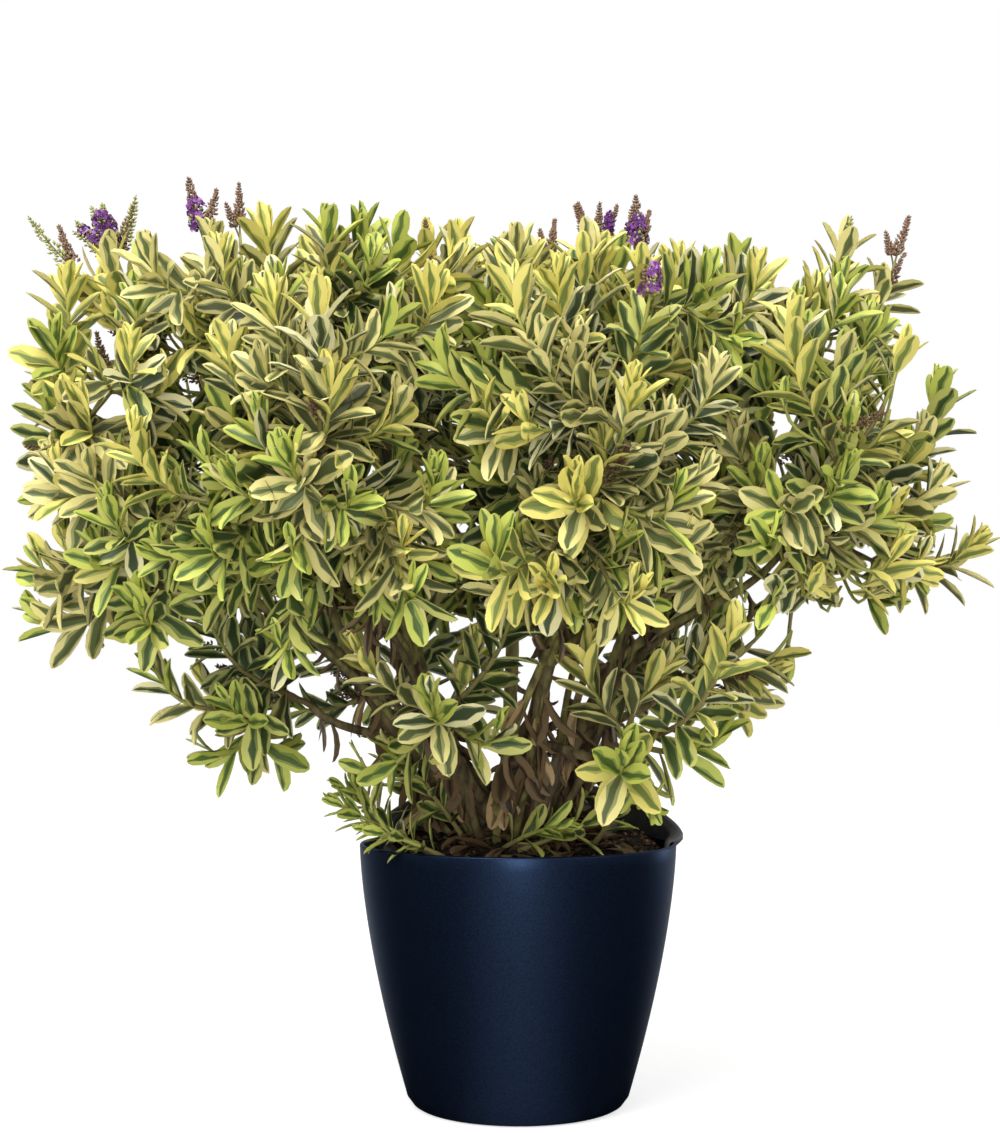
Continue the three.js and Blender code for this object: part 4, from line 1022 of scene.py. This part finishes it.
def in_opening(root, along, length):
    """Which leaves would close one of the openings through the crown."""
    closing = np.zeros(len(root), bool)
    for share in OPENING_SHARES:
        points = root + along * (length * share)[:, None]
        reach = points - OPENINGS_FROM
        level = OPENINGS_FROM + reach * (-OPENINGS_FROM[1] / reach[:, 1])[:, None]
        for x, z, half_width, half_height in OPENINGS:
            closing |= ((level[:, 0] - x) / half_width) ** 2 + ((level[:, 2] - z) / half_height) ** 2 < 1
    return closing


def with_age(measure, age, rng):
    """A measure that changes with the age of a leaf, by its start, its change and its scatter."""
    start, change, scatter = measure
    return start + change * age + rng.normal(0, scatter, len(age))


def add_spray(leaves, twig):
    """The leaf pairs of one shoot, from its tip down as far as it is leafy."""
    shoot, curve = twig["shoot"], twig["curve"]
    rng = np.random.default_rng(shoot["seed"])
    vigour = rng.uniform(*VIGOUR)
    low = np.clip((LOOSE_BELOW - shoot["tip"][2]) / LOOSE_DEPTH, 0, 1)
    backs = PAIR_BACKS * vigour * shoot.get("loose", 1 + LOOSER * low)
    pairs = int(np.searchsorted(backs, curve.length * LEAFY_SHARE))
    pairs = min(pairs, rng.integers(FEWEST_PAIRS, PAIRS + 1) - int(PAIRS_LOST_LOW * low))
    first = PAIRS_LOST_TO_BLOSSOM if shoot["blossom"] else 0
    number = np.repeat(np.arange(first, pairs), 2)
    count = len(number)
    if count == 0:
        return
    shares = 1 - backs[number] / curve.length
    way, side, over = curve.frames(shares)
    turn = rng.uniform(0, math.pi) + number * math.pi / 2 + np.tile([0, math.pi], count // 2)
    turn = turn + rng.normal(0, PAIR_TWIST, count)
    out = side * np.cos(turn)[:, None] + over * np.sin(turn)[:, None]
    spread = PAIR_SPREADS[number] * rng.uniform(*SPREAD_SHARES) + rng.normal(0, SPREAD_SCATTER, count)
    spread = np.radians(spread)
    along = way * np.cos(spread)[:, None] + out * np.sin(spread)[:, None]
    age = np.clip(number / FULL_AGE, 0, 1)
    along = along - UP * (AGED_DROOP * age)[:, None]
    along /= np.linalg.norm(along, axis=1, keepdims=True)
    face = way * np.sin(spread)[:, None] - out * np.cos(spread)[:, None]
    face = face + UP * (AGED_FACE_UP * age)[:, None]
    face = face - along * (face * along).sum(axis=1)[:, None]
    face /= np.linalg.norm(face, axis=1, keepdims=True)
    size = LEAF_LENGTH * vigour * shoot.get("leaf", 1.0)
    length = size * PAIR_LENGTHS[number] * rng.uniform(*LENGTH_SHARES, count)
    width = LEAF_WIDTH * rng.uniform(*WIDTH_SHARES, count)
    bend = np.radians(with_age(LEAF_BEND, age, rng))
    cup = np.clip(with_age(LEAF_CUP, age, rng), LEAST_CUP, MOST_CUP)
    young, ripe, old = colours_for(shoot, rng)
    colour = np.where(number < YOUNG_PAIRS, young, np.where(number < RIPE_PAIRS, ripe, old))
    stray = rng.random(count) < STRAY_SHARE
    colour = np.where(stray, rng.choice([CREAM, WHITE_EDGED, OLIVE, GREEN_GOLD], count), colour)
    pattern = rng.integers(0, LEAF_PATTERNS, count) + LEAF_PATTERNS * (number >= BROAD_MIDDLE_FROM)
    columns = [curve.points(shares), along, face, length, width, bend, cup, pattern, colour]
    kept = ~in_opening(columns[0], along, length)
    leaves.add(*[column[kept] for column in columns])


def leaf_materials():
    materials = []
    for name, *zones in LEAF_COLOURS:
        for zone, shade in zip(("edge", "band", "middle"), zones):
            materials.append(new_material(f"leaf_{name}_{zone}", linear(*shade), 0.5, specular=0.4))
    return materials


LEAF_MATERIALS = leaf_materials()


def crease_midribs(piece):
    """The fold along the middle of each leaf stays a sharp line."""
    edges = np.empty(len(piece.data.edges) * 2, np.int32)
    piece.data.edges.foreach_get("vertices", edges)
    places = edges.reshape(-1, 2) % LEAF_POINTS
    on_rib = (places % LEAF_LINES == LEAF_LINES // 2) | (places == LEAF_POINTS - 1)
    sharp = piece.data.attributes.new("sharp_edge", "BOOLEAN", "EDGE")
    sharp.data.foreach_set("value", on_rib.all(axis=1))


def make_leaves():
    """The sprays of neighbouring masses joined into pieces of a few thousand leaves."""
    batches, batch, names = [], Leaves(), []
    for twig in basal_twigs:
        add_spray(batch, twig)
    for mass in masses:
        spray = Leaves()
        for twig in mass["twigs"]:
            add_spray(spray, twig)
        size = sum(len(rows) for rows in spray.rows)
        if sum(len(rows) for rows in batch.rows) + size > LEAVES_IN_PIECE:
            batches.append((batch, names))
            batch, names = Leaves(), []
        batch.rows += spray.rows
        names.append(f"foliage_{mass['name']}")
    batches.append((batch, names))
    for number, (batch, names) in enumerate(batches, 1):
        piece = make_piece(f"leaves_{number}", batch.shapes(), LEAF_MATERIALS)
        crease_midribs(piece)
        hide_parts(*names)


make_leaves()

# ---------------------------------------------------------------- dead leaves
# Dry brown leaves that still hang on the bare lower stems or have dropped on the soil, limp and curled.

# How many there are of each kind, and the range of their length, width, bend and cup. The last number
# is the share of them that is dark brown; the rest is straw-coloured.
DEAD_MEASURES = ("count", "length", "width", "bend", "cup", "dark")
HANGING = dict(zip(DEAD_MEASURES, (210, (28, 50), (0.14, 0.26), (-2.2, 2.6), (0.3, 1.8), 1)))
RAGS = dict(zip(DEAD_MEASURES, (110, (36, 62), (0.2, 0.36), (-0.9, 0.9), (0.5, 1.9), 0.86)))
BUNCH = dict(zip(DEAD_MEASURES, (8, (44, 60), 0.3, (-0.3, 0.3), (0.4, 1.2), 0)))
FALLEN = dict(zip(DEAD_MEASURES, (90, (32, 54), 0.36, (-0.3, 0.9), (0.1, 0.8), 1)))
RAG_HEIGHTS, RAG_STEPS, BUNCH_PLACE = (302.0, 400.0), 40, (-16.0, -50.0, 326.0)
HANGING_LOWEST, FALLEN_REACH, FALLEN_LIFT = SOIL_CROWN_HEIGHT + 4, 94, 3
HANGING_FROM, HANGING_OUT, HANGING_DOWN, RAG_OUT = (0.12, 0.95), (0.1, 0.9), (0.5, 1.4), (0.05, 0.45)
BUNCH_SCATTER, FALLEN_TIP = 0.16, (-0.1, 0.25)


def add_dead(leaves, root, along, face, length, kind, rng):
    """One dead leaf of a kind. What its kind gives as a range is drawn."""
    ranges = (kind["width"], kind["bend"], kind["cup"])
    width, bend, cup = (rng.uniform(*each) if isinstance(each, tuple) else each for each in ranges)
    pattern = rng.integers(LEAF_PATTERNS)
    dark = rng.random() < kind["dark"] if 0 < kind["dark"] < 1 else bool(kind["dark"])
    colour = DEAD if dark else STRAW
    leaves.add(root, along[None], face[None], length, width, bend, cup, pattern, colour)


def dead_leaves():
    """Curled leaves on the limbs, limp rags low on the stems, one bunch, and those that lie on the soil."""
    rng = np.random.default_rng(404)
    leaves = Leaves()
    limbs = stems + side_stems + [mass["bough"] for mass in masses if mass["tier"] != "top_centre"]
    for _ in range(HANGING["count"]):
        curve = limbs[rng.integers(len(limbs))]
        share = rng.uniform(*HANGING_FROM)
        root = curve.points(share)
        azimuth = rng.uniform(0, FULL_TURN)
        along = unit(outward(azimuth) * rng.uniform(*HANGING_OUT) - UP * rng.uniform(*HANGING_DOWN))
        face = unit(np.cross(along, unit(np.cross(UP, along))) + 0.001)
        length = rng.uniform(*HANGING["length"])
        if root[0, 2] - length >= HANGING_LOWEST:
            add_dead(leaves, root, along, face, length, HANGING, rng)
    for _ in range(RAGS["count"]):
        curve = (stems + side_stems)[rng.integers(len(stems + side_stems))]
        heights = curve.points(np.linspace(0, 1, RAG_STEPS))[:, 2]
        share = np.searchsorted(heights, rng.uniform(*RAG_HEIGHTS)) / (RAG_STEPS - 1)
        root = curve.points(min(share, 1))
        length = min(rng.uniform(*RAGS["length"]), root[0, 2] - SOIL_CROWN_HEIGHT)
        along = unit(outward(rng.uniform(0, FULL_TURN)) * rng.uniform(*RAG_OUT) - UP)
        face = unit(np.cross(along, outward(rng.uniform(0, FULL_TURN))))
        add_dead(leaves, root, along, face, length, RAGS, rng)
    for _ in range(BUNCH["count"]):
        along = unit(rng.normal(0, BUNCH_SCATTER, 3) - UP)
        face = unit(np.cross(along, outward(rng.uniform(0, FULL_TURN))))
        add_dead(leaves, np.array([BUNCH_PLACE]), along, face, rng.uniform(*BUNCH["length"]), BUNCH, rng)
    for _ in range(FALLEN["count"]):
        radius, azimuth = FALLEN_REACH * math.sqrt(rng.random()), rng.uniform(0, FULL_TURN)
        height = soil_height(radius) + FALLEN_LIFT
        place = leant([[radius * math.cos(azimuth), radius * math.sin(azimuth), height]])
        along = unit(outward(rng.uniform(0, FULL_TURN)) + UP * rng.uniform(*FALLEN_TIP))
        face = unit(UP - along * along[2])
        add_dead(leaves, place, along, face, rng.uniform(*FALLEN["length"]), FALLEN, rng)
    return leaves


dry = make_piece("dead_leaves", dead_leaves().shapes(), LEAF_MATERIALS)
crease_midribs(dry)

# ---------------------------------------------------------------- blossom
# Slim spikes on bare stalks at some shoot tips: open purple florets below, tight brown-purple or green
# buds above. Old spent spikes, dry and brown, stay among the leaves.

# The display colour, roughness and gloss of each finish.
SPIKE_FINISHES = [
    ("petal_purple", (122, 66, 140), 0.6, 0.3), ("petal_deep_purple", (84, 38, 98), 0.6, 0.3),
    ("petal_lilac", (166, 118, 178), 0.6, 0.3), ("bud_brown_purple", (132, 104, 84), 0.7, 0.3),
    ("bud_green", (160, 162, 98), 0.65, 0.3), ("spent_brown", (100, 78, 56), 0.8, 0.25),
    ("spike_stalk", (122, 116, 70), 0.7, 0.3),
]
SPIKE_MATERIALS = [
    new_material(name, linear(*colour), roughness, specular=gloss)
    for name, colour, roughness, gloss in SPIKE_FINISHES
]
PETAL, DEEP_PETAL, LILAC_PETAL, BROWN_BUD, GREEN_BUD, SPENT, STALK = range(7)
# How far up its florets are open, the kind of its buds, the share of gaps and the steps between rings.
SPIKE_STYLES = {
    "flower": {"open": 0.6, "bud": BROWN_BUD, "gap": 0.12, "ring": 2.8},
    "open": {"open": 1.0, "bud": GREEN_BUD, "gap": 0.15, "ring": 2.8},
    "mixed": {"open": 0.8, "bud": GREEN_BUD, "gap": 0.15, "ring": 2.8},
    "bud": {"open": 0.0, "bud": BROWN_BUD, "gap": 0.08, "ring": 2.6},
    "green": {"open": 0.0, "bud": GREEN_BUD, "gap": 0.3, "ring": 3.6},
    "spent": {"open": 0.0, "bud": SPENT, "gap": 0.25, "ring": 3.3},
}
# The spikes of one shoot: the angle round it and the lean in degrees, length, width and style of each.
SPIKE_SETS = {
    "flower": [(0, 0, 60, 22, "flower"), (20, 17, 50, 15, "bud"), (175, 12, 44, 18, "flower")],
    "cluster": [
        (180, 40, 56, 23, "mixed"), (190, 18, 62, 23, "mixed"), (0, 4, 60, 21, "mixed"),
        (-90, 30, 48, 21, "open"), (5, 30, 66, 20, "green"), (10, 20, 60, 17, "bud"),
        (185, 52, 48, 16, "green"),
    ],
    "green": [(180, 24, 70, 18, "green"), (90, 4, 46, 13, "bud")],
    "bud": [(0, 0, 48, 14, "bud"), (200, 22, 30, 11, "bud")],
    "pair": [(180, 16, 44, 13, "bud"), (0, 10, 56, 16, "bud")],
    "group": [
        (180, 30, 52, 13, "bud"), (180, 14, 56, 15, "bud"), (10, 2, 54, 15, "bud"), (0, 18, 52, 14, "bud"),
        (-40, 14, 40, 18, "open"),
    ],
    "small": [(0, 0, 32, 20, "open"), (150, 20, 30, 12, "bud")],
}
SPIKE_SINK, SPIKE_LENGTHS, LONE_SPIKE_SINK = 5.0, (0.93, 1.07), 26
SPIKE_SWAY, SPIKE_RIGHTING, STALK_RADII, STALK_RINGS, STALK_SIDES = 0.08, 0.15, (1.1, 0.5), 7, 5
BARE_STALKS = {"cluster": 4.0, "flower": 11.0, "green": 8.0, "bud": 9.0, "group": 12.0}
RING_TURN, RING_PLACES, PLACE_SCATTER, PLACE_REACH, SPIKE_TAPER = 1.3, 6, 0.3, (0.4, 1.15), (0.88, 1.15)
OPEN_SHARE, PETAL_SHARES, FLORET_SIZES = 0.52, [0.45, 0.37, 0.18], (4.2, 6.4)
# Where a petal is broadest, out and aside, how far that and its tip rise, and how far it may turn.
PETAL_OUT, PETAL_ASIDE, PETAL_RISES, PETAL_TURN = 0.6, 0.4, (0.35, 0.25), 0.2
FLORET_RISE, BUD_RISE, RIPE_FROM = 0.3, 0.8, 0.8
BUD_LENGTH, BUD_WIDTH, BUD_SIZES, BUD_SHRINK, UNRIPE_SHARE = 5.8, 3.7, (0.8, 1.15), (1.15, 0.4), 0.6
SPENT_SPIKES, SPENT_TWIG, SPENT_BACKS, SPENT_LENGTHS, SPENT_WIDTH = 70, 120, (90, 118), (44, 60), 17
NEW_SPIKES, NEW_SPIKE_BELOW, NEW_SPIKE_SINK, NEW_SPIKE_LENGTH, NEW_SPIKE_WIDTH = 8, 830, 6, 26, 7
# Single spikes, each on the shoot whose tip is nearest to a spot, with its style, length and width.
LONE_SPIKES = [
    ((-472, -10, 752), "bud", 46, 14), ((448, -40, 800), "bud", 36, 12), ((-70, -50, 842), "bud", 50, 15),
    ((338, -20, 846), "green", 52, 14),
]
BUD_CORNERS = np.array([[0, 0, -1], [1, 0, 0], [0, 1, 0], [-1, 0, 0], [0, -1, 0], [0, 0, 1]], float)
BUD_SIDES = np.array([[0, 2, 1], [0, 3, 2], [0, 4, 3], [0, 1, 4], [1, 2, 5], [2, 3, 5], [3, 4, 5], [4, 1, 5]])


def add_bud(heap, place, way, length, width, kind):
    """A bud: a small eight-sided drop."""
    side = unit(np.cross(way, [0.3, 0.5, 0.8]))
    frame_rows = np.array([side, np.cross(way, side), way])
    heap.add((BUD_CORNERS * [width / 2, width / 2, length / 2]) @ frame_rows + place, BUD_SIDES, kind=kind)


def add_floret(heap, place, way, size, rng):
    """Four spread petals, each a small kite."""
    side = unit(np.cross(way, rng.normal(0, 1, 3)))
    over = np.cross(way, side)
    kind = rng.choice([PETAL, DEEP_PETAL, LILAC_PETAL], p=PETAL_SHARES)
    for quarter in range(4):
        angle = quarter * math.pi / 2 + rng.uniform(-PETAL_TURN, PETAL_TURN)
        out = side * math.cos(angle) + over * math.sin(angle)
        beside = -side * math.sin(angle) + over * math.cos(angle)
        middle = place + (out * PETAL_OUT + way * PETAL_RISES[0]) * size
        half = beside * size * PETAL_ASIDE
        petal = [place, middle + half, place + (out + way * PETAL_RISES[1]) * size, middle - half]
        heap.add(petal, [[0, 1, 2, 3]], kind=kind)


def add_spike(heap, foot, way, length, width, style, rng, bare=0.0):
    """A stalk set with florets or buds in rings, thinner towards its tip, above a bare part."""
    traits = SPIKE_STYLES[style]
    sway = unit(way + rng.normal(0, SPIKE_SWAY, 3))
    whole = bare + length
    curve = Bend(foot, way, foot + sway * whole, unit(sway + UP * SPIKE_RIGHTING))
    shares, radii = np.linspace(0, 1, STALK_RINGS), np.linspace(*STALK_RADII, STALK_RINGS)
    points, *faces = tube(curve, radii, STALK_SIDES, shares)
    heap.add(points, *faces, kind=SPENT if style == "spent" else STALK)
    rings = int(length / traits["ring"])
    for ring in range(2, rings):
        t = ring / rings
        share = (bare + t * length) / whole
        way_here, side, over = (v[0] for v in curve.frames([share]))
        centre = curve.point(share)
        reach = width / 2 * (1 - SPIKE_TAPER[0] * t ** SPIKE_TAPER[1])
        for number in range(RING_PLACES):
            if rng.random() < traits["gap"]:
                continue
            angle = ring * RING_TURN + number * math.pi / 3 + rng.uniform(-PLACE_SCATTER, PLACE_SCATTER)
            out = side * math.cos(angle) + over * math.sin(angle)
            place = centre + out * reach * rng.uniform(*PLACE_REACH)
            if t < traits["open"] and rng.random() < OPEN_SHARE:
                florets_way = unit(out + way_here * FLORET_RISE)
                add_floret(heap, place, florets_way, rng.uniform(*FLORET_SIZES), rng)
            else:
                size = rng.uniform(*BUD_SIZES) * (BUD_SHRINK[0] - BUD_SHRINK[1] * t)
                unripe = t < traits["open"] * RIPE_FROM and rng.random() < UNRIPE_SHARE
                kind = GREEN_BUD if unripe else traits["bud"]
                buds_way = unit(out + way_here * BUD_RISE)
                add_bud(heap, place, buds_way, BUD_LENGTH * size, BUD_WIDTH * size, kind)


def blossom_shapes():
    """The spikes on their shoots, the single ones, the spent ones among the leaves and a few new ones."""
    heap = Heap()
    rng = np.random.default_rng(19)
    every = [twig for mass in masses for twig in mass["twigs"]]
    for twig in every:
        tip, way, blossom = twig["curve"].point(1), twig["curve"].way(1), twig["shoot"]["blossom"]
        foot, bare = tip - way * SPIKE_SINK, BARE_STALKS.get(blossom, 0.0)
        for azimuth, lean, length, width, style in SPIKE_SETS.get(blossom, []):
            side_way = unit(way + outward(math.radians(azimuth)) * math.tan(math.radians(lean)))
            drawn = length * rng.uniform(*SPIKE_LENGTHS)
            add_spike(heap, foot, side_way, drawn, width, style, rng, bare)
    tips = np.array([twig["shoot"]["tip"] for twig in every])
    for spot, style, length, width in LONE_SPIKES:
        curve = every[int(np.argmin(np.linalg.norm(tips - spot, axis=1)))]["curve"]
        foot, way = curve.point(1) - curve.way(1) * LONE_SPIKE_SINK, unit(curve.way(1) + [0, -0.5, 0])
        add_spike(heap, foot, way, length, width, style, rng)
    spare = [
        twig["curve"] for twig in every if not twig["shoot"]["blossom"] and twig["curve"].length > SPENT_TWIG
    ]
    for number in rng.permutation(len(spare))[:SPENT_SPIKES]:
        curve = spare[number]
        t = 1 - rng.uniform(*SPENT_BACKS) / curve.length
        foot = curve.point(t)
        way = unit(curve.way(t) * 0.3 + unit(foot - [*CROWN_CENTRE, foot[2]]) + rng.normal(0, 0.25, 3))
        add_spike(heap, foot, way, rng.uniform(*SPENT_LENGTHS), SPENT_WIDTH, "spent", rng)
    for number in rng.permutation(len(spare))[:NEW_SPIKES]:
        tip, way = spare[number].point(1), spare[number].way(1)
        if tip[2] < NEW_SPIKE_BELOW:
            foot = tip - way * NEW_SPIKE_SINK
            add_spike(heap, foot, way, NEW_SPIKE_LENGTH, NEW_SPIKE_WIDTH, "green", rng)
    return heap


blossom = make_piece("blossom_and_seed_heads", blossom_shapes(), SPIKE_MATERIALS)

# ---------------------------------------------------------------- floor, light and camera
# A plain pale studio floor, which gloss sees as a painted reflection that is dark at the pot's sides; soft
# light from above and in front, a tall soft light behind the camera whose reflection runs down the middle of
# the pot, and a small one low behind that edges its right side.

FLOOR_RADIUS, FLOOR_SIDES, FLOOR_SEEN, FLOOR_LIGHTING, FLOOR_GLOW = 14, 64, 0.5, 0.64, 0.66
SKY_HEIGHTS, SKY_LEVELS = (-0.1, 0.9), (0.28, 1.15)
# A painted reflection: how bright gloss mirrors the floor, from straight in front of the pot, past its sides,
# to behind it.
FLOOR_MIRRORED = [
    (0.0, 0.5), (0.03, 0.3), (0.1, 0.05), (0.2, 0.015), (0.52, 0.015), (0.66, 0.09), (0.8, 0.28), (1.0, 0.6),
]
# The light's name, its place, what it points at, its size across and up, and its power.
LIGHTS = [
    ("key", (-1.3, -2.2, 3.05), (0, 0, 0.6), (2.2, 2.2), 137),
    ("fill", (2.4, -2.0, 2.2), (0, 0, 0.5), (2.0, 2.0), 24),
    ("strip", (0.0, -3.0, 0.5), (0, 0, 0.2), (0.45, 1.0), 24),
    ("edge", (2.3, 1.7, 0.3), (0, 0, 0.14), (0.7, 1.0), 7),
]
CAMERA_DISTANCE, CAMERA_HEIGHT, CAMERA_LENS = 1.8, 0.415, 57.2
VIEW_CENTRE = (-0.0178, 0.5278)


def grey(level):
    return (level, level, level, 1)


def make_floor():
    """White to the eye, mid grey to the light, and for gloss as bright as FLOOR_MIRRORED says."""
    angles = np.linspace(0, FULL_TURN, FLOOR_SIDES, endpoint=False)
    mesh = bpy.data.meshes.new("floor")
    ring = [(FLOOR_RADIUS * math.cos(angle), FLOOR_RADIUS * math.sin(angle), 0.0) for angle in angles]
    mesh.from_pydata(ring, [], [list(range(FLOOR_SIDES))])
    material = new_material("pale_floor", grey(FLOOR_SEEN), 0.8, specular=0.1)
    nodes, links = material.node_tree.nodes, material.node_tree.links
    shader = nodes["Principled BSDF"]
    shader.inputs["Emission Color"].default_value = (1, 1, 1, 1)
    ray = nodes.new("ShaderNodeLightPath")
    place = nodes.new("ShaderNodeTexCoord")
    level = nodes.new("ShaderNodeVectorMath")
    level.operation = "MULTIPLY"
    level.inputs[1].default_value = (1, 1, 0)
    round_pot = nodes.new("ShaderNodeVectorMath")
    round_pot.operation = "NORMALIZE"
    split = nodes.new("ShaderNodeSeparateXYZ")
    to_share = nodes.new("ShaderNodeMapRange")
    to_share.inputs["From Min"].default_value = -1.0
    mirrored = nodes.new("ShaderNodeValToRGB")
    while len(mirrored.color_ramp.elements) < len(FLOOR_MIRRORED):
        mirrored.color_ramp.elements.new(0.5)
    for stop, (share, shade) in zip(mirrored.color_ramp.elements, FLOOR_MIRRORED):
        stop.position, stop.color = share, grey(shade)
    by_eye = nodes.new("ShaderNodeMix")
    by_gloss = nodes.new("ShaderNodeMix")
    by_eye.data_type = by_gloss.data_type = "RGBA"
    by_eye.inputs[6].default_value = grey(FLOOR_LIGHTING)
    by_eye.inputs[7].default_value = grey(FLOOR_SEEN)
    links.new(place.outputs["Object"], level.inputs[0])
    links.new(level.outputs[0], round_pot.inputs[0])
    links.new(round_pot.outputs[0], split.inputs[0])
    links.new(split.outputs["Y"], to_share.inputs["Value"])
    links.new(to_share.outputs["Result"], mirrored.inputs["Fac"])
    links.new(ray.outputs["Is Camera Ray"], by_eye.inputs["Factor"])
    links.new(ray.outputs["Is Glossy Ray"], by_gloss.inputs["Factor"])
    links.new(by_eye.outputs[2], by_gloss.inputs[6])
    links.new(mirrored.outputs["Color"], by_gloss.inputs[7])
    links.new(by_gloss.outputs[2], shader.inputs["Base Color"])
    glow = nodes.new("ShaderNodeMath")
    glow.operation = "MULTIPLY"
    glow.inputs[1].default_value = FLOOR_GLOW
    links.new(ray.outputs["Is Camera Ray"], glow.inputs[0])
    links.new(glow.outputs[0], shader.inputs["Emission Strength"])
    mesh.materials.append(material)
    floor = bpy.data.objects.new("floor", mesh)
    bpy.context.collection.objects.link(floor)


def make_light(name, place, target, size, power):
    """A soft white light from a rectangle, turned to a point."""
    data = bpy.data.lights.new(name, "AREA")
    data.shape = "RECTANGLE"
    data.size, data.size_y = size
    data.energy = power
    light = bpy.data.objects.new(name, data)
    light.location = place
    way = np.array(target, float) - np.array(place, float)
    yaw = math.atan2(way[0], way[1])
    pitch = math.atan2(way[2], math.hypot(way[0], way[1]))
    light.rotation_euler = (math.pi / 2 + pitch, 0, -yaw)
    bpy.context.collection.objects.link(light)


def make_world():
    """White to the eye, and a sky that is bright overhead and dimmer round the sides for the light."""
    world = bpy.data.worlds.new("studio")
    world.use_nodes = True
    nodes, links = world.node_tree.nodes, world.node_tree.links
    nodes.clear()
    place = nodes.new("ShaderNodeTexCoord")
    split = nodes.new("ShaderNodeSeparateXYZ")
    ramp = nodes.new("ShaderNodeMapRange")
    ramp.inputs["From Min"].default_value, ramp.inputs["From Max"].default_value = SKY_HEIGHTS
    ramp.inputs["To Min"].default_value, ramp.inputs["To Max"].default_value = SKY_LEVELS
    sky = nodes.new("ShaderNodeBackground")
    plain = nodes.new("ShaderNodeBackground")
    plain.inputs["Color"].default_value = (1, 1, 1, 1)
    ray = nodes.new("ShaderNodeLightPath")
    mix = nodes.new("ShaderNodeMixShader")
    out = nodes.new("ShaderNodeOutputWorld")
    links.new(place.outputs["Generated"], split.inputs[0])
    links.new(split.outputs["Z"], ramp.inputs["Value"])
    links.new(ramp.outputs["Result"], sky.inputs["Strength"])
    links.new(ray.outputs["Is Camera Ray"], mix.inputs[0])
    links.new(sky.outputs[0], mix.inputs[1])
    links.new(plain.outputs[0], mix.inputs[2])
    links.new(mix.outputs[0], out.inputs[0])
    bpy.context.scene.world = world


make_floor()
make_world()
for light in LIGHTS:
    make_light(*light)

camera_data = bpy.data.cameras.new("camera")
camera_data.lens = CAMERA_LENS
camera_data.sensor_width = 36
camera = bpy.data.objects.new("camera", camera_data)
camera.location = (VIEW_CENTRE[0], -CAMERA_DISTANCE, CAMERA_HEIGHT)
tilt = math.atan2(VIEW_CENTRE[1] - CAMERA_HEIGHT, CAMERA_DISTANCE)
camera.rotation_euler = (math.pi / 2 + tilt, 0, 0)
bpy.context.collection.objects.link(camera)
bpy.context.scene.camera = camera
bpy.context.scene.view_settings.view_transform = "Standard"
